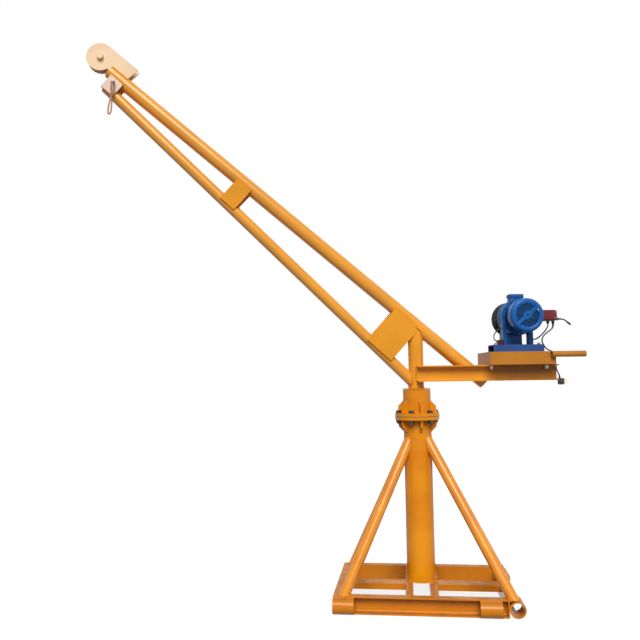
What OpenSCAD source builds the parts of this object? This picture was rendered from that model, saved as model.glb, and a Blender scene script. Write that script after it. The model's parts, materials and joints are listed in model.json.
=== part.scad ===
// Portable mini crane. A column on a channel-steel base carries a bolted bearing
// housing, and a two-tube boom with a winch platform slews in it.
// Millimetres. +Z is up, the boom points to -X, +Y is the crane's rear side,
// and the origin is on the ground on the slewing axis.

/* [Slewing] */
// Angle of the boom round the column, counted from the base frame
slew_angle = 11; // [-180:1:180]

/* [Base frame] */
// From the column's axis to the left end of the base
base_left = 412; // [340:1:520]
// From the column's axis to the right end of the base
base_right = 424; // [350:1:530]
// Depth of the base from front to back
base_depth = 610; // [500:1:760]
// Height of the base channels
channel_h = 80; // [66:1:110]
// Width of the channels' flanges
channel_flange = 43; // [36:1:60]
// Thickness of the channels' webs
channel_web = 5; // [3:0.5:8]
// Thickness of the channels' flanges
channel_flange_t = 6; // [4:0.5:10]
// Root fillet inside the channels
channel_root = 6; // [2:0.5:10]
// Clear gap between the two rails under the column
rail_gap = 82; // [60:1:96]
// Width of the rails' flanges
rail_flange = 36; // [28:1:50]
// Width of the flat cross members
cross_w = 80; // [50:1:120]
// Height of the flat cross members
cross_h = 29; // [16:1:29]
// Wall of the cross members
cross_wall = 4; // [2:0.5:6]
// Underside of the cross members above the ground
cross_z = 39; // [20:1:45]

/* [Jack sleeves] */
// Length of each sleeve
sleeve_len = 98; // [70:1:130]
// Wall of each sleeve
sleeve_wall = 7; // [6.5:0.5:10]
// From the column's axis to the outer end of the right-hand cross sleeves
sleeve_right_end = 354; // [290:1:370]

/* [Column and braces] */
// Outer diameter of the column
column_od = 140; // [110:1:168]
// Wall of the column
column_wall = 6; // [4:0.5:10]
// Top of the column above the ground
column_top = 872; // [740:1:1100]
// Outer diameter of the braces
brace_od = 51; // [38:1:60]
// Wall of the braces
brace_wall = 4; // [2:0.5:6]
// From the column's top down to where the braces' centre lines meet its axis
brace_drop = 10; // [0:1:140]
// From the left end of the base to the left braces' feet
brace_foot_in = 52; // [40:1:90]

/* [Bearing housing] */
// Outer diameter of the bolted flanges
flange_od = 224; // [210:1:280]
// Thickness of each flange
flange_t = 17; // [10:1:25]
// Number of flange bolts, and of ribs between them
flange_bolt_count = 6; // [4:1:8]
// Diameter of the flange bolts
flange_bolt_d = 16; // [10:1:20]
// Diameter of the bolt circle
bolt_circle = 190; // [184:1:214]
// Height of the housing above its flange
housing_h = 117; // [90:1:160]
// Wall of the housing
housing_wall = 6; // [4:0.5:10]
// Thickness of the ribs
rib_t = 8; // [5:1:12]
// Height of the ribs on the housing
upper_rib_h = 64; // [40:1:90]
// Height of the ribs on the column
lower_rib_h = 65; // [40:1:90]
// Radius of the ribs' outer edge
rib_reach = 103; // [90:1:110]
// Turn of the ribs from the base's front
rib_turn = 12; // [-30:1:30]
// Diameter of the slewing spindle
spindle_d = 70; // [50:1:80]

/* [Boom] */
// Outer diameter of the mast
mast_od = 76; // [70:1:100]
// Wall of the mast
mast_wall = 5; // [3:0.5:8]
// Outer diameter of the upper tube
upper_od = 70; // [57:1:78]
// Outer diameter of the lower tube
lower_od = 57; // [48:1:66]
// Wall of both boom tubes
boom_wall = 4; // [2:0.5:6]
// Slope of the upper tube in degrees
upper_angle = 40.3; // [34:0.1:46]
// Slope of the lower tube in degrees
lower_angle = 44.5; // [41:0.1:50]
// From the mast's foot up to where the upper tube crosses the slewing axis
upper_joint_rise = 325; // [270:1:390]
// From the mast's foot up to where the lower tube meets the slewing axis
lower_joint_rise = 14; // [11:1:40]
// Length of the upper tube from the slewing axis up to the tip
upper_reach = 2041; // [1700:1:2400]
// Length of the upper tube's tail below the slewing axis
upper_tail = 462; // [430:1:520]
// Length of the lower tube from the slewing axis up to the tip
lower_reach = 2210; // [1800:1:2500]
// Thickness of the gusset plates
gusset_t = 6; // [4:0.5:10]

/* [Boom head] */
// Radius of the round end of the head plates
head_r = 72; // [66:1:90]
// Thickness of the head plates
head_t = 6; // [4:0.5:10]
// Gap between the head plates
head_gap = 34; // [30:1:50]
// Radius of the sheave
sheave_r = 56; // [40:1:56]
// Width of the sheave's rim
sheave_w = 24; // [16:1:24]
// Diameter of the sheave pin
sheave_pin_d = 20; // [14:1:24]
// Bar diameter of the hanging link
link_bar = 7; // [5:0.5:9]

/* [Winch platform] */
// Length of the platform channels
platform_len = 724; // [640:1:820]
// Left end of the platform channels from the slewing axis
platform_start = -6; // [-30:1:-6]
// From the mast's foot up to the underside of the platform channels
platform_rise = 33; // [12:1:60]
// Length of the tray
tray_len = 338; // [300:1:400]
// Depth of the tray from front to back
tray_depth = 216; // [190:1:300]
// Height of the tray
tray_h = 65; // [40:1:90]
// Sheet thickness of the tray
tray_t = 4; // [2:0.5:6]
// Distance from the slewing axis to the tray's right end
tray_end = 693; // [640:1:790]
// Outer diameter of the push handle
handle_od = 30; // [24:1:42]
// Length of the push handle
handle_len = 174; // [120:1:260]

/* [Winch] */
// Distance of the winch's axis from the slewing axis
winch_x = 541; // [500:1:600]
// Height of the winch's axis above the tray
winch_rise = 181; // [165:1:210]
// Height of the winch's base channels
winch_base_h = 36; // [25:1:45]
// Radius of the motor body
motor_r = 78; // [60:1:84]
// Radius of the fan cover
cover_r = 86; // [79:1:96]
// Length of the fan cover
cover_len = 55; // [40:1:80]
// Length of the motor body
motor_len = 72; // [56:1:90]
// Radius of the gear case behind the motor
case_r = 93; // [80:1:110]
// Length of the gear case
case_len = 65; // [45:1:80]
// Radius of the drum's flanges
drum_flange_r = 92; // [74:1:110]
// Length of the drum between its flanges
drum_len = 88; // [60:1:110]
// Radius of the drum's barrel
drum_r = 42; // [30:1:50]
// Diameter of the winch rope
rope_d = 5; // [3:0.5:8]

/* [Hidden] */

orange = [0.87, 0.48, 0.06];
pale_primer = [0.96, 0.86, 0.74];
steel = [0.62, 0.62, 0.62];
blue = [0.10, 0.36, 0.72];
maroon = [0.42, 0.10, 0.12];
black = [0.08, 0.08, 0.08];
eps = 0.01;
round_fn = 96;
small_fn = 48;

// Base frame
base_front = -base_depth / 2;
web_front = base_front + channel_flange;
right_web = base_right - channel_flange;
sleeve_od = channel_h - channel_flange_t;
sleeve_r = sleeve_od / 2;
front_sleeve_y = web_front - channel_web - sleeve_r;
right_sleeve_x = right_web + channel_web + sleeve_r;
rail_web = rail_gap / 2 + channel_web;
brace_foot_y = web_front - channel_flange / 2;
brace_foot_right = right_web + channel_flange / 2 + 2;

// Column and bearing housing
brace_top = column_top - brace_drop;
flange_joint = column_top + flange_t;
housing_bottom = flange_joint + flange_t;
housing_top = housing_bottom + housing_h;
spindle_gap = 2;
cap_t = 4;
cap_r = column_od / 2 + 1;
cap_top = housing_top + spindle_gap + cap_t;
housing_r = column_od / 2;
bush_clear = 0.05;
bush_h = housing_h - 14;
bolt_clear = 0.5;
nut_h = 13;
washer_t = 3;

// Boom
mast_r = mast_od / 2;
upper_r = upper_od / 2;
lower_r = lower_od / 2;
upper_joint_z = cap_top + upper_joint_rise;
lower_joint_z = cap_top + lower_joint_rise;
mean_angle = (upper_angle + lower_angle) / 2;
tip_x = -min(upper_reach * cos(upper_angle), lower_reach * cos(lower_angle));

// Plates between the tubes: length along them, and how far each plate
// runs past the centre line of the upper and of the lower tube
large_gusset = [160, 1, 1];
large_gusset_x = -117;
small_gusset = [92, -8, 1];
small_gusset_x = -909;
tip_plate = [80, -12, 12];
tip_plate_x = tip_x + 26.5;

// Boom head, along the upper tube (reach) and above its axis (rise)
sheave_reach = upper_reach + 81;
sheave_rise = 26;
head_tail = upper_reach - 103;
head_rake = 12;
pin_clear = 0.05;
pin_head_h = 13;
pin_af = 30;
link_pin_d = 10;
link_pin_rise = 8;
link_pin_at = [tip_plate_x, (upper_z(tip_plate_x) + lower_z(tip_plate_x)) / 2 + link_pin_rise];
link_pin_end = -62;
link_y = -52;
link_w = 26;
link_upper_h = 98;
link_lower_h = 98;
link_seat = 0.3;

// Winch platform
platform_z = cap_top + platform_rise;
platform_top = platform_z + channel_h;
tray_top = platform_top + tray_h;
tray_start = tray_end - tray_len;
tray_return = 50;
tray_bolt_d = 12;
tray_bolt_x = [tray_start + 18, tray_end - 33];
tray_bolt_y = mast_r + channel_flange * 0.55;
handle_lap = 28;
handle_z = tray_top - handle_od / 2;
handle_y = -tray_depth / 2 - handle_od / 2;
handle_wall = 3;

// Winch, along its axis from the fan cover's face to the gearbox
winch_z = tray_top + winch_rise;
cover_face = -150;
motor_front = cover_face + cover_len;
motor_back = motor_front + motor_len;
run_gap = 6;
drum_flange_t = 6;
drum_front = motor_back + case_len + run_gap;
drum_back = drum_front + drum_len + 2 * drum_flange_t;
gear_front = drum_back + run_gap;
gear_len = 60;
gear_r = 64;
shaft_d = 28;
base_half = 130;
base_w = 95;
base_rear_cut = 75;
base_t = 5;
base_front_y = -100;
base_rear_y = tray_depth / 2 - base_w;
base_top = tray_top + winch_base_h;
leg_w = 22;
leg_at = [-76, 60];
leg_y = [motor_back + 1, motor_back + 43];
leg_web_t = 8;
leg_web_h = 62;
leg_web_end = 24;
terminal_w = 78;
terminal_d = 56;
terminal_y = motor_back + 6;
terminal_top = winch_z + 121;
box_left = winch_x + motor_r - 1;
box_right = winch_x + 175;
box_y = [-93, -37];
box_z = [winch_z - 25, winch_z + 30];
stand_t = 10;

// Cords: routes start at their glands
power_d = 7;
lead_d = 7;
control_d = 7;
cord_sides = 8;
gland_len = 12;
power_route = [
    [702, -65, 1351], [702, -65, 1338], [696, -65, 1325], [685, -64, 1315],
    [673, -62, 1306], [661, -60, 1296], [651, -57, 1284], [646, -54, 1270],
    [648, -50, 1256], [656, -44, 1243], [666, -37, 1232], [677, -29, 1223],
    [690, -21, 1217], [704, -13, 1213], [713, -8, 1210], [721, -3, 1205],
    [728, 1, 1197], [731, 3, 1186], [732, 4, 1173], [734, 4, 1159],
    [736, 4, 1145], [737, 4, 1131], [739, 4, 1118], [743, 4, 1106],
    [748, 4, 1095], [752, 4, 1084], [753, 4, 1073]
];
motor_lead_route = [
    [680, -52, 1351], [680, -52, 1338], [673, -51, 1325], [665, -48, 1313],
    [657, -42, 1302], [649, -34, 1292], [641, -24, 1283], [633, -14, 1276],
    [624, -6, 1273], [612, -6, 1273]
];
control_route = [
    [728, -65, 1373], [741, -65, 1373], [754, -65, 1371], [766, -65, 1366],
    [776, -65, 1358]
];

// ---- shapes used more than once ----

module tube(od, wall, h, fn = round_fn) {
    difference() {
        cylinder(d = od, h = h, $fn = fn);
        translate([0, 0, -1]) cylinder(d = od - 2 * wall, h = h + 2, $fn = fn);
    }
}

// A quarter fillet with its corner at the origin, in the +X +Y quadrant
module fillet(r) {
    difference() {
        square(r);
        translate([r, r]) circle(r, $fn = small_fn);
    }
}

// A channel along +X: web on the XZ plane, flanges towards -Y, foot at z = 0
module channel(length, flange = channel_flange) {
    rotate([90, 0, 90])
    linear_extrude(length) {
        translate([-channel_web, 0]) square([channel_web, channel_h]);
        translate([-flange, 0]) square([flange, channel_flange_t]);
        translate([-flange, channel_h - channel_flange_t]) square([flange, channel_flange_t]);
        translate([-channel_web, channel_flange_t]) mirror([1, 0]) fillet(channel_root);
        translate([-channel_web, channel_h - channel_flange_t]) rotate(180) fillet(channel_root);
    }
}

module hex_prism(af, h) {
    cylinder(r = af / sqrt(3), h = h, $fn = 6);
}

// A bolt through parts stacked from z = 0 to grip, head on top, nut below
module through_bolt(d, grip) {
    translate([0, 0, grip]) cylinder(d = 2 * d, h = washer_t, $fn = small_fn);
    translate([0, 0, grip + washer_t]) hex_prism(1.5 * d, 0.65 * d);
    translate([0, 0, -washer_t]) cylinder(d = 2 * d, h = washer_t, $fn = small_fn);
    translate([0, 0, -washer_t - 0.8 * d]) hex_prism(1.5 * d, 0.8 * d);
    translate([0, 0, -washer_t - 1.1 * d]) cylinder(d = d, h = grip + washer_t + 1.2 * d, $fn = small_fn);
}

// ---- frames of the moving parts ----

module on_base() {
    rotate([0, 0, -slew_angle]) children();
}

// Origin where the upper tube crosses the slewing axis, -X up along the tube
module on_upper_tube() {
    translate([0, 0, upper_joint_z]) rotate([0, upper_angle, 0]) children();
}

module on_lower_tube() {
    translate([0, 0, lower_joint_z]) rotate([0, lower_angle, 0]) children();
}

// Origin on the winch's axis, +Z backwards along the axis
module on_winch() {
    translate([winch_x, 0, winch_z]) rotate([-90, 0, 0]) children();
}

// ---- base frame ----

module sleeve_notch(from_x) {
    translate([from_x, -channel_flange - 1, -1])
        cube([sleeve_len, channel_flange + 1 - channel_web, channel_flange_t + channel_root + 1]);
}

// A cross beam: open side forward, notched where the sleeves sit
module cross_beam() {
    length = base_left + right_web;
    difference() {
        channel(length);
        sleeve_notch(0 - eps);
        sleeve_notch(base_left + sleeve_right_end - sleeve_len);
    }
}

module cross_beams() {
    color(orange) on_base()
        for (side = [0, 1]) mirror([0, side, 0])
            translate([-base_left, web_front, 0]) cross_beam();
}

module right_beam() {
    difference() {
        translate([right_web, base_front, 0]) rotate([0, 0, 90]) channel(base_depth);
        for (side = [0, 1]) mirror([0, side, 0])
            translate([right_web, base_front, 0]) rotate([0, 0, 90]) sleeve_notch(-eps);
    }
}

module side_beams() {
    color(orange) on_base() {
        translate([-base_left, web_front, 0]) rotate([0, 0, 90]) channel(-2 * web_front);
        right_beam();
    }
}

module rails() {
    color(orange) on_base()
        for (side = [0, 1]) mirror([side, 0, 0])
            translate([rail_gap / 2, web_front, 0]) rotate([0, 0, 90])
                channel(-2 * web_front, rail_flange);
}

module cross_member(from_x, to_x) {
    translate([from_x, 0, cross_z + cross_h / 2]) rotate([90, 0, 90])
    linear_extrude(to_x - from_x) difference() {
        square([cross_w, cross_h], center = true);
        square([cross_w - 2 * cross_wall, cross_h - 2 * cross_wall], center = true);
    }
}

module cross_members() {
    color(orange) on_base() {
        cross_member(-base_left + channel_web, -rail_web);
        cross_member(rail_web, right_web);
    }
}

module sleeve() {
    tube(sleeve_od, sleeve_wall, sleeve_len);
}

module sleeves() {
    color(orange) on_base() for (side = [0, 1]) mirror([0, side, 0]) {
        for (end_x = [-base_left + sleeve_len, sleeve_right_end])
            translate([end_x - sleeve_len, front_sleeve_y, sleeve_r]) rotate([0, 90, 0]) sleeve();
        translate([right_sleeve_x, base_front, sleeve_r]) rotate([-90, 0, 0]) sleeve();
    }
}

// ---- column ----

module column() {
    color(orange) on_base()
        translate([0, 0, channel_h]) tube(column_od, column_wall, column_top - channel_h);
}

// A brace from its foot on the beams up to the column's side
module brace(foot_x, foot_y) {
    run = norm([foot_x, foot_y]);
    rise = brace_top - channel_h;
    lean = atan2(run, rise);
    length = norm([run, rise]);
    below = brace_od;
    difference() {
        translate([0, 0, brace_top]) rotate([0, 0, atan2(foot_y, foot_x)])
            rotate([0, 180 - lean, 0]) tube(brace_od, brace_wall, length + below, small_fn);
        translate([0, 0, brace_top - 400]) cylinder(d = column_od, h = 500, $fn = round_fn);
        translate([foot_x, foot_y, channel_h - 150]) cube([400, 400, 300], center = true);
    }
}

module braces() {
    color(orange) on_base()
        for (foot_x = [-base_left + brace_foot_in, brace_foot_right])
            for (side = [1, -1]) brace(foot_x, side * brace_foot_y);
}

// ---- bearing housing ----

module at_bolts(turn) {
    for (i = [0 : flange_bolt_count - 1])
        rotate([0, 0, -90 + rib_turn + turn + 360 * i / flange_bolt_count]) children();
}

bolt_turn = 180 / flange_bolt_count;

module bolted_flange(bore_r) {
    difference() {
        cylinder(d = flange_od, h = flange_t, $fn = round_fn);
        translate([0, 0, -1]) cylinder(r = bore_r, h = flange_t + 2, $fn = round_fn);
        at_bolts(bolt_turn) translate([bolt_circle / 2, 0, -1])
            cylinder(d = flange_bolt_d + 2 * bolt_clear, h = flange_t + 2, $fn = small_fn);
    }
}

module lower_flange() {
    color(orange) on_base()
        translate([0, 0, column_top]) bolted_flange(column_od / 2 - column_wall);
}

module upper_flange() {
    color(orange) on_base()
        translate([0, 0, flange_joint]) bolted_flange(housing_r - housing_wall);
}

// A rib standing on a flange at z = 0, against a tube of the given radius
module rib(tube_r, h) {
    inner = tube_r - 1;
    rotate([90, 0, 0]) translate([0, 0, -rib_t / 2]) linear_extrude(rib_t)
        polygon([[inner, 0], [rib_reach, 0], [rib_reach - 5, h * 0.56], [inner, h]]);
}

module ribs(tube_r, h) {
    difference() {
        at_bolts(0) rib(tube_r, h);
        translate([0, 0, -1]) cylinder(r = tube_r, h = h + 2, $fn = round_fn);
    }
}

module flange_ribs() {
    color(orange) on_base() {
        translate([0, 0, column_top]) mirror([0, 0, 1]) ribs(column_od / 2, lower_rib_h);
        translate([0, 0, housing_bottom]) ribs(housing_r, upper_rib_h);
    }
}

module bearing_housing() {
    color(orange) on_base()
        translate([0, 0, housing_bottom]) tube(2 * housing_r, housing_wall, housing_h);
}

module bearing_bush() {
    color(steel) on_base()
        translate([0, 0, housing_top - 6 - bush_h])
            tube(2 * (housing_r - housing_wall),
                 housing_r - housing_wall - spindle_d / 2 - bush_clear, bush_h);
}

module flange_bolts() {
    color(steel) on_base()
        translate([0, 0, column_top]) at_bolts(bolt_turn)
            translate([bolt_circle / 2, 0, 0]) through_bolt(flange_bolt_d, 2 * flange_t);
}

// ---- slewing mast and boom ----

module spindle() {
    color(orange) {
        translate([0, 0, housing_bottom - 6])
            cylinder(d = spindle_d, h = housing_h + 6 + spindle_gap, $fn = round_fn);
        translate([0, 0, housing_top + spindle_gap])
            cylinder(r = cap_r, h = cap_t, $fn = round_fn);
    }
}

module mast() {
    shoulder = -upper_r * 0.35;
    color(orange) difference() {
        translate([0, 0, cap_top]) tube(mast_od, mast_wall, upper_joint_z - cap_top + mast_od);
        on_upper_tube() {
            translate([-300, 0, 0]) rotate([0, 90, 0]) cylinder(r = upper_r, h = 600, $fn = round_fn);
            translate([-300, -150, shoulder]) cube([600, 300, 300]);
        }
    }
}

module upper_boom_tube() {
    color(orange) on_upper_tube()
        translate([-upper_reach, 0, 0]) rotate([0, 90, 0])
            tube(upper_od, boom_wall, upper_reach + upper_tail);
}

module lower_boom_tube() {
    color(orange) difference() {
        on_lower_tube() translate([-lower_reach, 0, 0]) rotate([0, 90, 0])
            tube(lower_od, boom_wall, lower_reach);
        translate([0, 0, cap_top - 50]) cylinder(r = mast_r, h = 300, $fn = round_fn);
    }
}

function upper_z(x) = upper_joint_z - x * tan(upper_angle);
function lower_z(x) = lower_joint_z - x * tan(lower_angle);

// A plate resting on the front of both tubes, its inner face touching each
module tube_plate(x, size) {
    apart = (upper_z(x) - lower_z(x)) * cos(mean_angle);
    tilt = asin((upper_r - lower_r) / apart);
    face = (upper_r + lower_r) / 2 / cos(tilt);
    translate([x, 0, (upper_z(x) + lower_z(x)) / 2]) rotate([0, mean_angle, 0])
        translate([0, -face, 0]) rotate([tilt, 0, 0])
            translate([-size[0] / 2, -gusset_t, -apart / 2 - size[2]])
                cube([size[0], gusset_t, apart + size[1] + size[2]]);
}

module plate_pair(x, size) {
    for (side = [0, 1]) mirror([0, side, 0]) tube_plate(x, size);
}

module gussets() {
    color(orange) {
        difference() {
            plate_pair(large_gusset_x, large_gusset);
            translate([0, 0, cap_top]) cylinder(r = mast_r, h = upper_joint_rise, $fn = round_fn);
            translate([0, -mast_od, cap_top]) cube([mast_od, 2 * mast_od, upper_joint_rise]);
        }
        plate_pair(small_gusset_x, small_gusset);
    }
}

module tip_plates() {
    color(pale_primer) difference() {
        plate_pair(tip_plate_x, tip_plate);
        translate([link_pin_at[0], 0, link_pin_at[1]]) rotate([90, 0, 0])
            cylinder(d = link_pin_d + 2 * pin_clear, h = 80, $fn = small_fn);
    }
}

// ---- boom head ----

module at_sheave() {
    on_upper_tube() translate([-sheave_reach, 0, sheave_rise]) rotate([-90, 0, 0]) children();
}

module head_outline() {
    top = sheave_rise + head_r;
    translate([-sheave_reach, sheave_rise]) circle(head_r, $fn = round_fn);
    polygon([[-sheave_reach, top], [-head_tail + head_rake / 2, top],
             [-head_tail - head_rake / 2, 0], [-sheave_reach, 0]]);
}

module head_plates() {
    color(pale_primer) difference() {
        on_upper_tube() for (side = [0, 1]) mirror([0, side, 0])
            translate([0, -head_gap / 2, 0]) rotate([90, 0, 0])
                linear_extrude(head_t) head_outline();
        on_upper_tube() translate([-upper_reach, 0, 0]) rotate([0, 90, 0])
            cylinder(r = upper_r, h = upper_reach, $fn = round_fn);
        at_sheave() translate([0, 0, -60])
            cylinder(d = sheave_pin_d + 2 * pin_clear, h = 120, $fn = small_fn);
    }
}

module sheave() {
    hub_w = head_gap - 1;
    groove_r = rope_d * 0.6;
    rim = sheave_w / 2;
    color(steel) at_sheave() rotate_extrude($fn = round_fn) difference() {
        polygon([
            [sheave_pin_d / 2 + pin_clear, -hub_w / 2], [sheave_pin_d, -hub_w / 2],
            [sheave_pin_d + 4, -rim * 0.5], [sheave_r - 18, -rim * 0.5], [sheave_r - 12, -rim],
            [sheave_r, -rim], [sheave_r - 10, -groove_r], [sheave_r - 10, groove_r],
            [sheave_r, rim], [sheave_r - 12, rim], [sheave_r - 18, rim * 0.5],
            [sheave_pin_d + 4, rim * 0.5], [sheave_pin_d, hub_w / 2],
            [sheave_pin_d / 2 + pin_clear, hub_w / 2]
        ]);
        translate([sheave_r - 10, 0]) circle(groove_r, $fn = small_fn);
    }
}

module sheave_pin() {
    outside = head_gap / 2 + head_t;
    color(steel) at_sheave() {
        translate([0, 0, -outside]) cylinder(d = sheave_pin_d, h = 2 * outside, $fn = small_fn);
        for (side = [0, 1]) mirror([0, 0, side]) {
            translate([0, 0, outside]) cylinder(d = pin_af + 6, h = washer_t, $fn = small_fn);
            translate([0, 0, outside + washer_t]) hex_prism(pin_af, pin_head_h);
        }
    }
}

module link_pin() {
    color(steel) translate([link_pin_at[0], 0, link_pin_at[1]]) rotate([90, 0, 0]) {
        translate([0, 0, lower_r + 2])
            cylinder(d = link_pin_d, h = -link_pin_end - lower_r - 2, $fn = small_fn);
        translate([0, 0, -link_pin_end]) cylinder(d = link_pin_d + 8, h = 4, $fn = small_fn);
    }
}

// A long ring of round bar in the XZ plane, its top at the origin
module long_ring(w, h) {
    bend = (w - link_bar) / 2;
    straight = h - w;
    for (side = [-1, 1])
        translate([side * bend, 0, -w / 2 - straight]) cylinder(d = link_bar, h = straight, $fn = small_fn);
    translate([0, 0, -w / 2]) rotate([90, 0, 0])
        rotate_extrude(angle = 180, $fn = small_fn) translate([bend, 0]) circle(d = link_bar, $fn = small_fn);
    translate([0, 0, -w / 2 - straight]) rotate([-90, 0, 0])
        rotate_extrude(angle = 180, $fn = small_fn) translate([bend, 0]) circle(d = link_bar, $fn = small_fn);
}

module hanging_link() {
    top = link_pin_at[1] + link_pin_d / 2 + link_seat + link_bar;
    color(steel) translate([link_pin_at[0], link_y, top]) {
        long_ring(link_w, link_upper_h);
        translate([0, 0, -link_upper_h + link_bar]) long_ring(link_w + 2, link_lower_h);
    }
}

// ---- winch platform ----

module tray_bolt_spots() {
    for (x = tray_bolt_x)
        for (side = [-1, 1])
            translate([x, side * tray_bolt_y, platform_top - channel_flange_t]) children();
}

module tray_bolt_holes() {
    tray_bolt_spots() translate([0, 0, -5])
        cylinder(d = tray_bolt_d + 2 * bolt_clear, h = 30, $fn = small_fn);
}

module platform_channels() {
    color(orange) difference() {
        for (side = [0, 1]) mirror([0, side, 0])
            translate([platform_start, -mast_r, platform_z]) channel(platform_len);
        tray_bolt_holes();
    }
}

module tray() {
    half = tray_depth / 2;
    color(orange) difference() {
        translate([tray_start, -half, platform_top]) cube([tray_len, tray_depth, tray_h]);
        translate([tray_start + tray_t, -half + tray_t, platform_top + tray_t])
            cube([tray_len - 2 * tray_t, tray_depth - 2 * tray_t, tray_h - 2 * tray_t]);
        translate([tray_start + tray_return, -half + tray_t, platform_top - 1])
            cube([tray_len - 2 * tray_return, tray_depth - 2 * tray_t, tray_t + 2]);
        tray_bolt_holes();
    }
}

module tray_bolts() {
    color(steel) tray_bolt_spots() through_bolt(tray_bolt_d, channel_flange_t + tray_t);
}

module handle() {
    color(orange) translate([tray_end - handle_lap, handle_y, handle_z]) rotate([0, 90, 0])
        tube(handle_od, handle_wall, handle_len);
}

// ---- winch ----

module inverted_channel(length) {
    inside = base_w - 2 * base_t;
    difference() {
        cube([length, base_w, winch_base_h]);
        translate([-1, base_t, -1]) cube([length + 2, inside, winch_base_h - base_t + 1]);
    }
}

module winch_base() {
    start = winch_x - base_half - 33;
    full = 2 * base_half;
    color(blue) {
        translate([start, base_front_y, tray_top]) inverted_channel(full);
        translate([start + base_rear_cut, base_rear_y, tray_top])
            inverted_channel(full - base_rear_cut);
    }
}

module motor_legs() {
    color(blue) difference() {
        union() {
            for (at = leg_at)
                translate([winch_x + at - leg_w / 2, leg_y[0], base_top])
                    cube([leg_w, leg_y[1] - leg_y[0], winch_z - base_top]);
            translate([winch_x + leg_at[0], leg_y[1] - leg_web_t, base_top])
                cube([leg_web_end - leg_at[0], leg_web_t, leg_web_h]);
        }
        winch_solid();
    }
}

module winch_solid() {
    on_winch() {
        translate([0, 0, motor_front]) cylinder(r = motor_r, h = motor_len, $fn = round_fn);
        translate([0, 0, motor_back]) cylinder(r = case_r, h = case_len, $fn = round_fn);
    }
}

module motor_body() {
    color(blue) winch_solid();
}

module fan_cover() {
    edge = 14;
    color(blue) on_winch() translate([0, 0, cover_face]) rotate_extrude($fn = round_fn) {
        square([cover_r - edge, cover_len]);
        translate([0, edge]) square([cover_r, cover_len - edge]);
        translate([cover_r - edge, edge]) circle(edge, $fn = small_fn);
    }
}

module terminal_box() {
    color(blue) difference() {
        translate([winch_x - terminal_w / 2 - 5, terminal_y, winch_z])
            cube([terminal_w, terminal_d, terminal_top - winch_z]);
        winch_solid();
    }
}

module drum_shaft() {
    color(steel) on_winch() translate([0, 0, motor_back + case_len])
        cylinder(d = shaft_d, h = gear_front - motor_back - case_len, $fn = small_fn);
}

module drum() {
    inner = shaft_d / 2 + pin_clear;
    color(steel) on_winch() translate([0, 0, drum_front]) rotate_extrude($fn = round_fn) {
        translate([inner, 0]) square([drum_r - inner, drum_len + 2 * drum_flange_t]);
        translate([inner, 0]) square([drum_flange_r - inner, drum_flange_t]);
        translate([inner, drum_flange_t + drum_len]) square([drum_flange_r - inner, drum_flange_t]);
    }
}

module drum_rope() {
    layers = 5;
    color(black) on_winch() translate([0, 0, drum_front + drum_flange_t])
        tube(2 * (drum_r + layers * rope_d), layers * rope_d, drum_len);
}

module gearbox() {
    color(blue) on_winch() translate([0, 0, gear_front]) {
        cylinder(r = gear_r, h = gear_len, $fn = round_fn);
        translate([0, 0, gear_len]) cylinder(r = gear_r - 24, h = 12, $fn = round_fn);
    }
}

// Foot on the rear base channel, running back under the drum to the gearbox
module gearbox_stand() {
    half = 32;
    color(blue) difference() {
        translate([winch_x - half, base_rear_y + 20, base_top]) {
            cube([2 * half, gear_front + gear_len - base_rear_y - 20, stand_t]);
            translate([0, gear_front + 10 - base_rear_y - 20, 0])
                cube([2 * half, gear_len - 20, winch_z - base_top]);
        }
        on_winch() cylinder(r = gear_r, h = 400, $fn = round_fn);
    }
}

module switch_box() {
    color(maroon) difference() {
        translate([box_left, box_y[0], box_z[0]])
            cube([box_right - box_left, box_y[1] - box_y[0], box_z[1] - box_z[0]]);
        winch_solid();
    }
}

module gland(d) {
    cylinder(d = d + 8, h = gland_len, $fn = small_fn);
}

module cable_glands() {
    power = power_route[0];
    lead = motor_lead_route[0];
    control = control_route[0];
    color(black) {
        translate([power[0], power[1], box_z[0] - gland_len]) gland(power_d);
        translate([lead[0], lead[1], box_z[0] - gland_len]) gland(lead_d);
        translate([box_right, control[1], control[2]]) rotate([0, 90, 0]) gland(control_d);
    }
}

// ---- cords ----

function unit(v) = v / norm(v);
function heading(p, i) = unit(p[min(i + 1, len(p) - 1)] - p[max(i - 1, 0)]);

module cord(route, d) {
    n = cord_sides;
    last = len(route) - 1;
    rings = [
        for (i = [0 : last])
            let (t = heading(route, i), u = unit(cross([0, 1, 0], t)), v = cross(t, u))
                for (k = [0 : n - 1])
                    route[i] + d / 2 * (cos(360 * k / n) * u + sin(360 * k / n) * v)
    ];
    sides = [
        for (i = [0 : last - 1], k = [0 : n - 1])
            [i * n + k, (i + 1) * n + k, (i + 1) * n + (k + 1) % n, i * n + (k + 1) % n]
    ];
    ends = [[for (k = [0 : n - 1]) k], [for (k = [n - 1 : -1 : 0]) last * n + k]];
    polyhedron(rings, concat(sides, ends));
}

module power_cord() {
    color(black) cord(power_route, power_d);
}

module motor_lead() {
    color(black) cord(motor_lead_route, lead_d);
}

module control_lead() {
    color(black) cord(control_route, control_d);
}

// Angled plug: the cord comes in from above and the blades point to +X
module plug() {
    top = power_route[len(power_route) - 1];
    body = [32, 24, 36];
    blade = [17, 1.6, 6.5];
    inlet = 9;
    color(black) translate(top) {
        translate([-inlet, -body[1] / 2, -body[2]]) cube(body);
        for (z = [-11, -25])
            translate([body[0] - inlet, -blade[1] / 2, z - blade[2] / 2]) cube(blade);
    }
}

module lead_connector() {
    last = len(control_route) - 1;
    t = heading(control_route, last);
    color(black) translate(control_route[last]) rotate([0, atan2(t[0], t[2]), 0])
        cylinder(d = control_d + 4, h = 24, $fn = small_fn);
}

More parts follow.
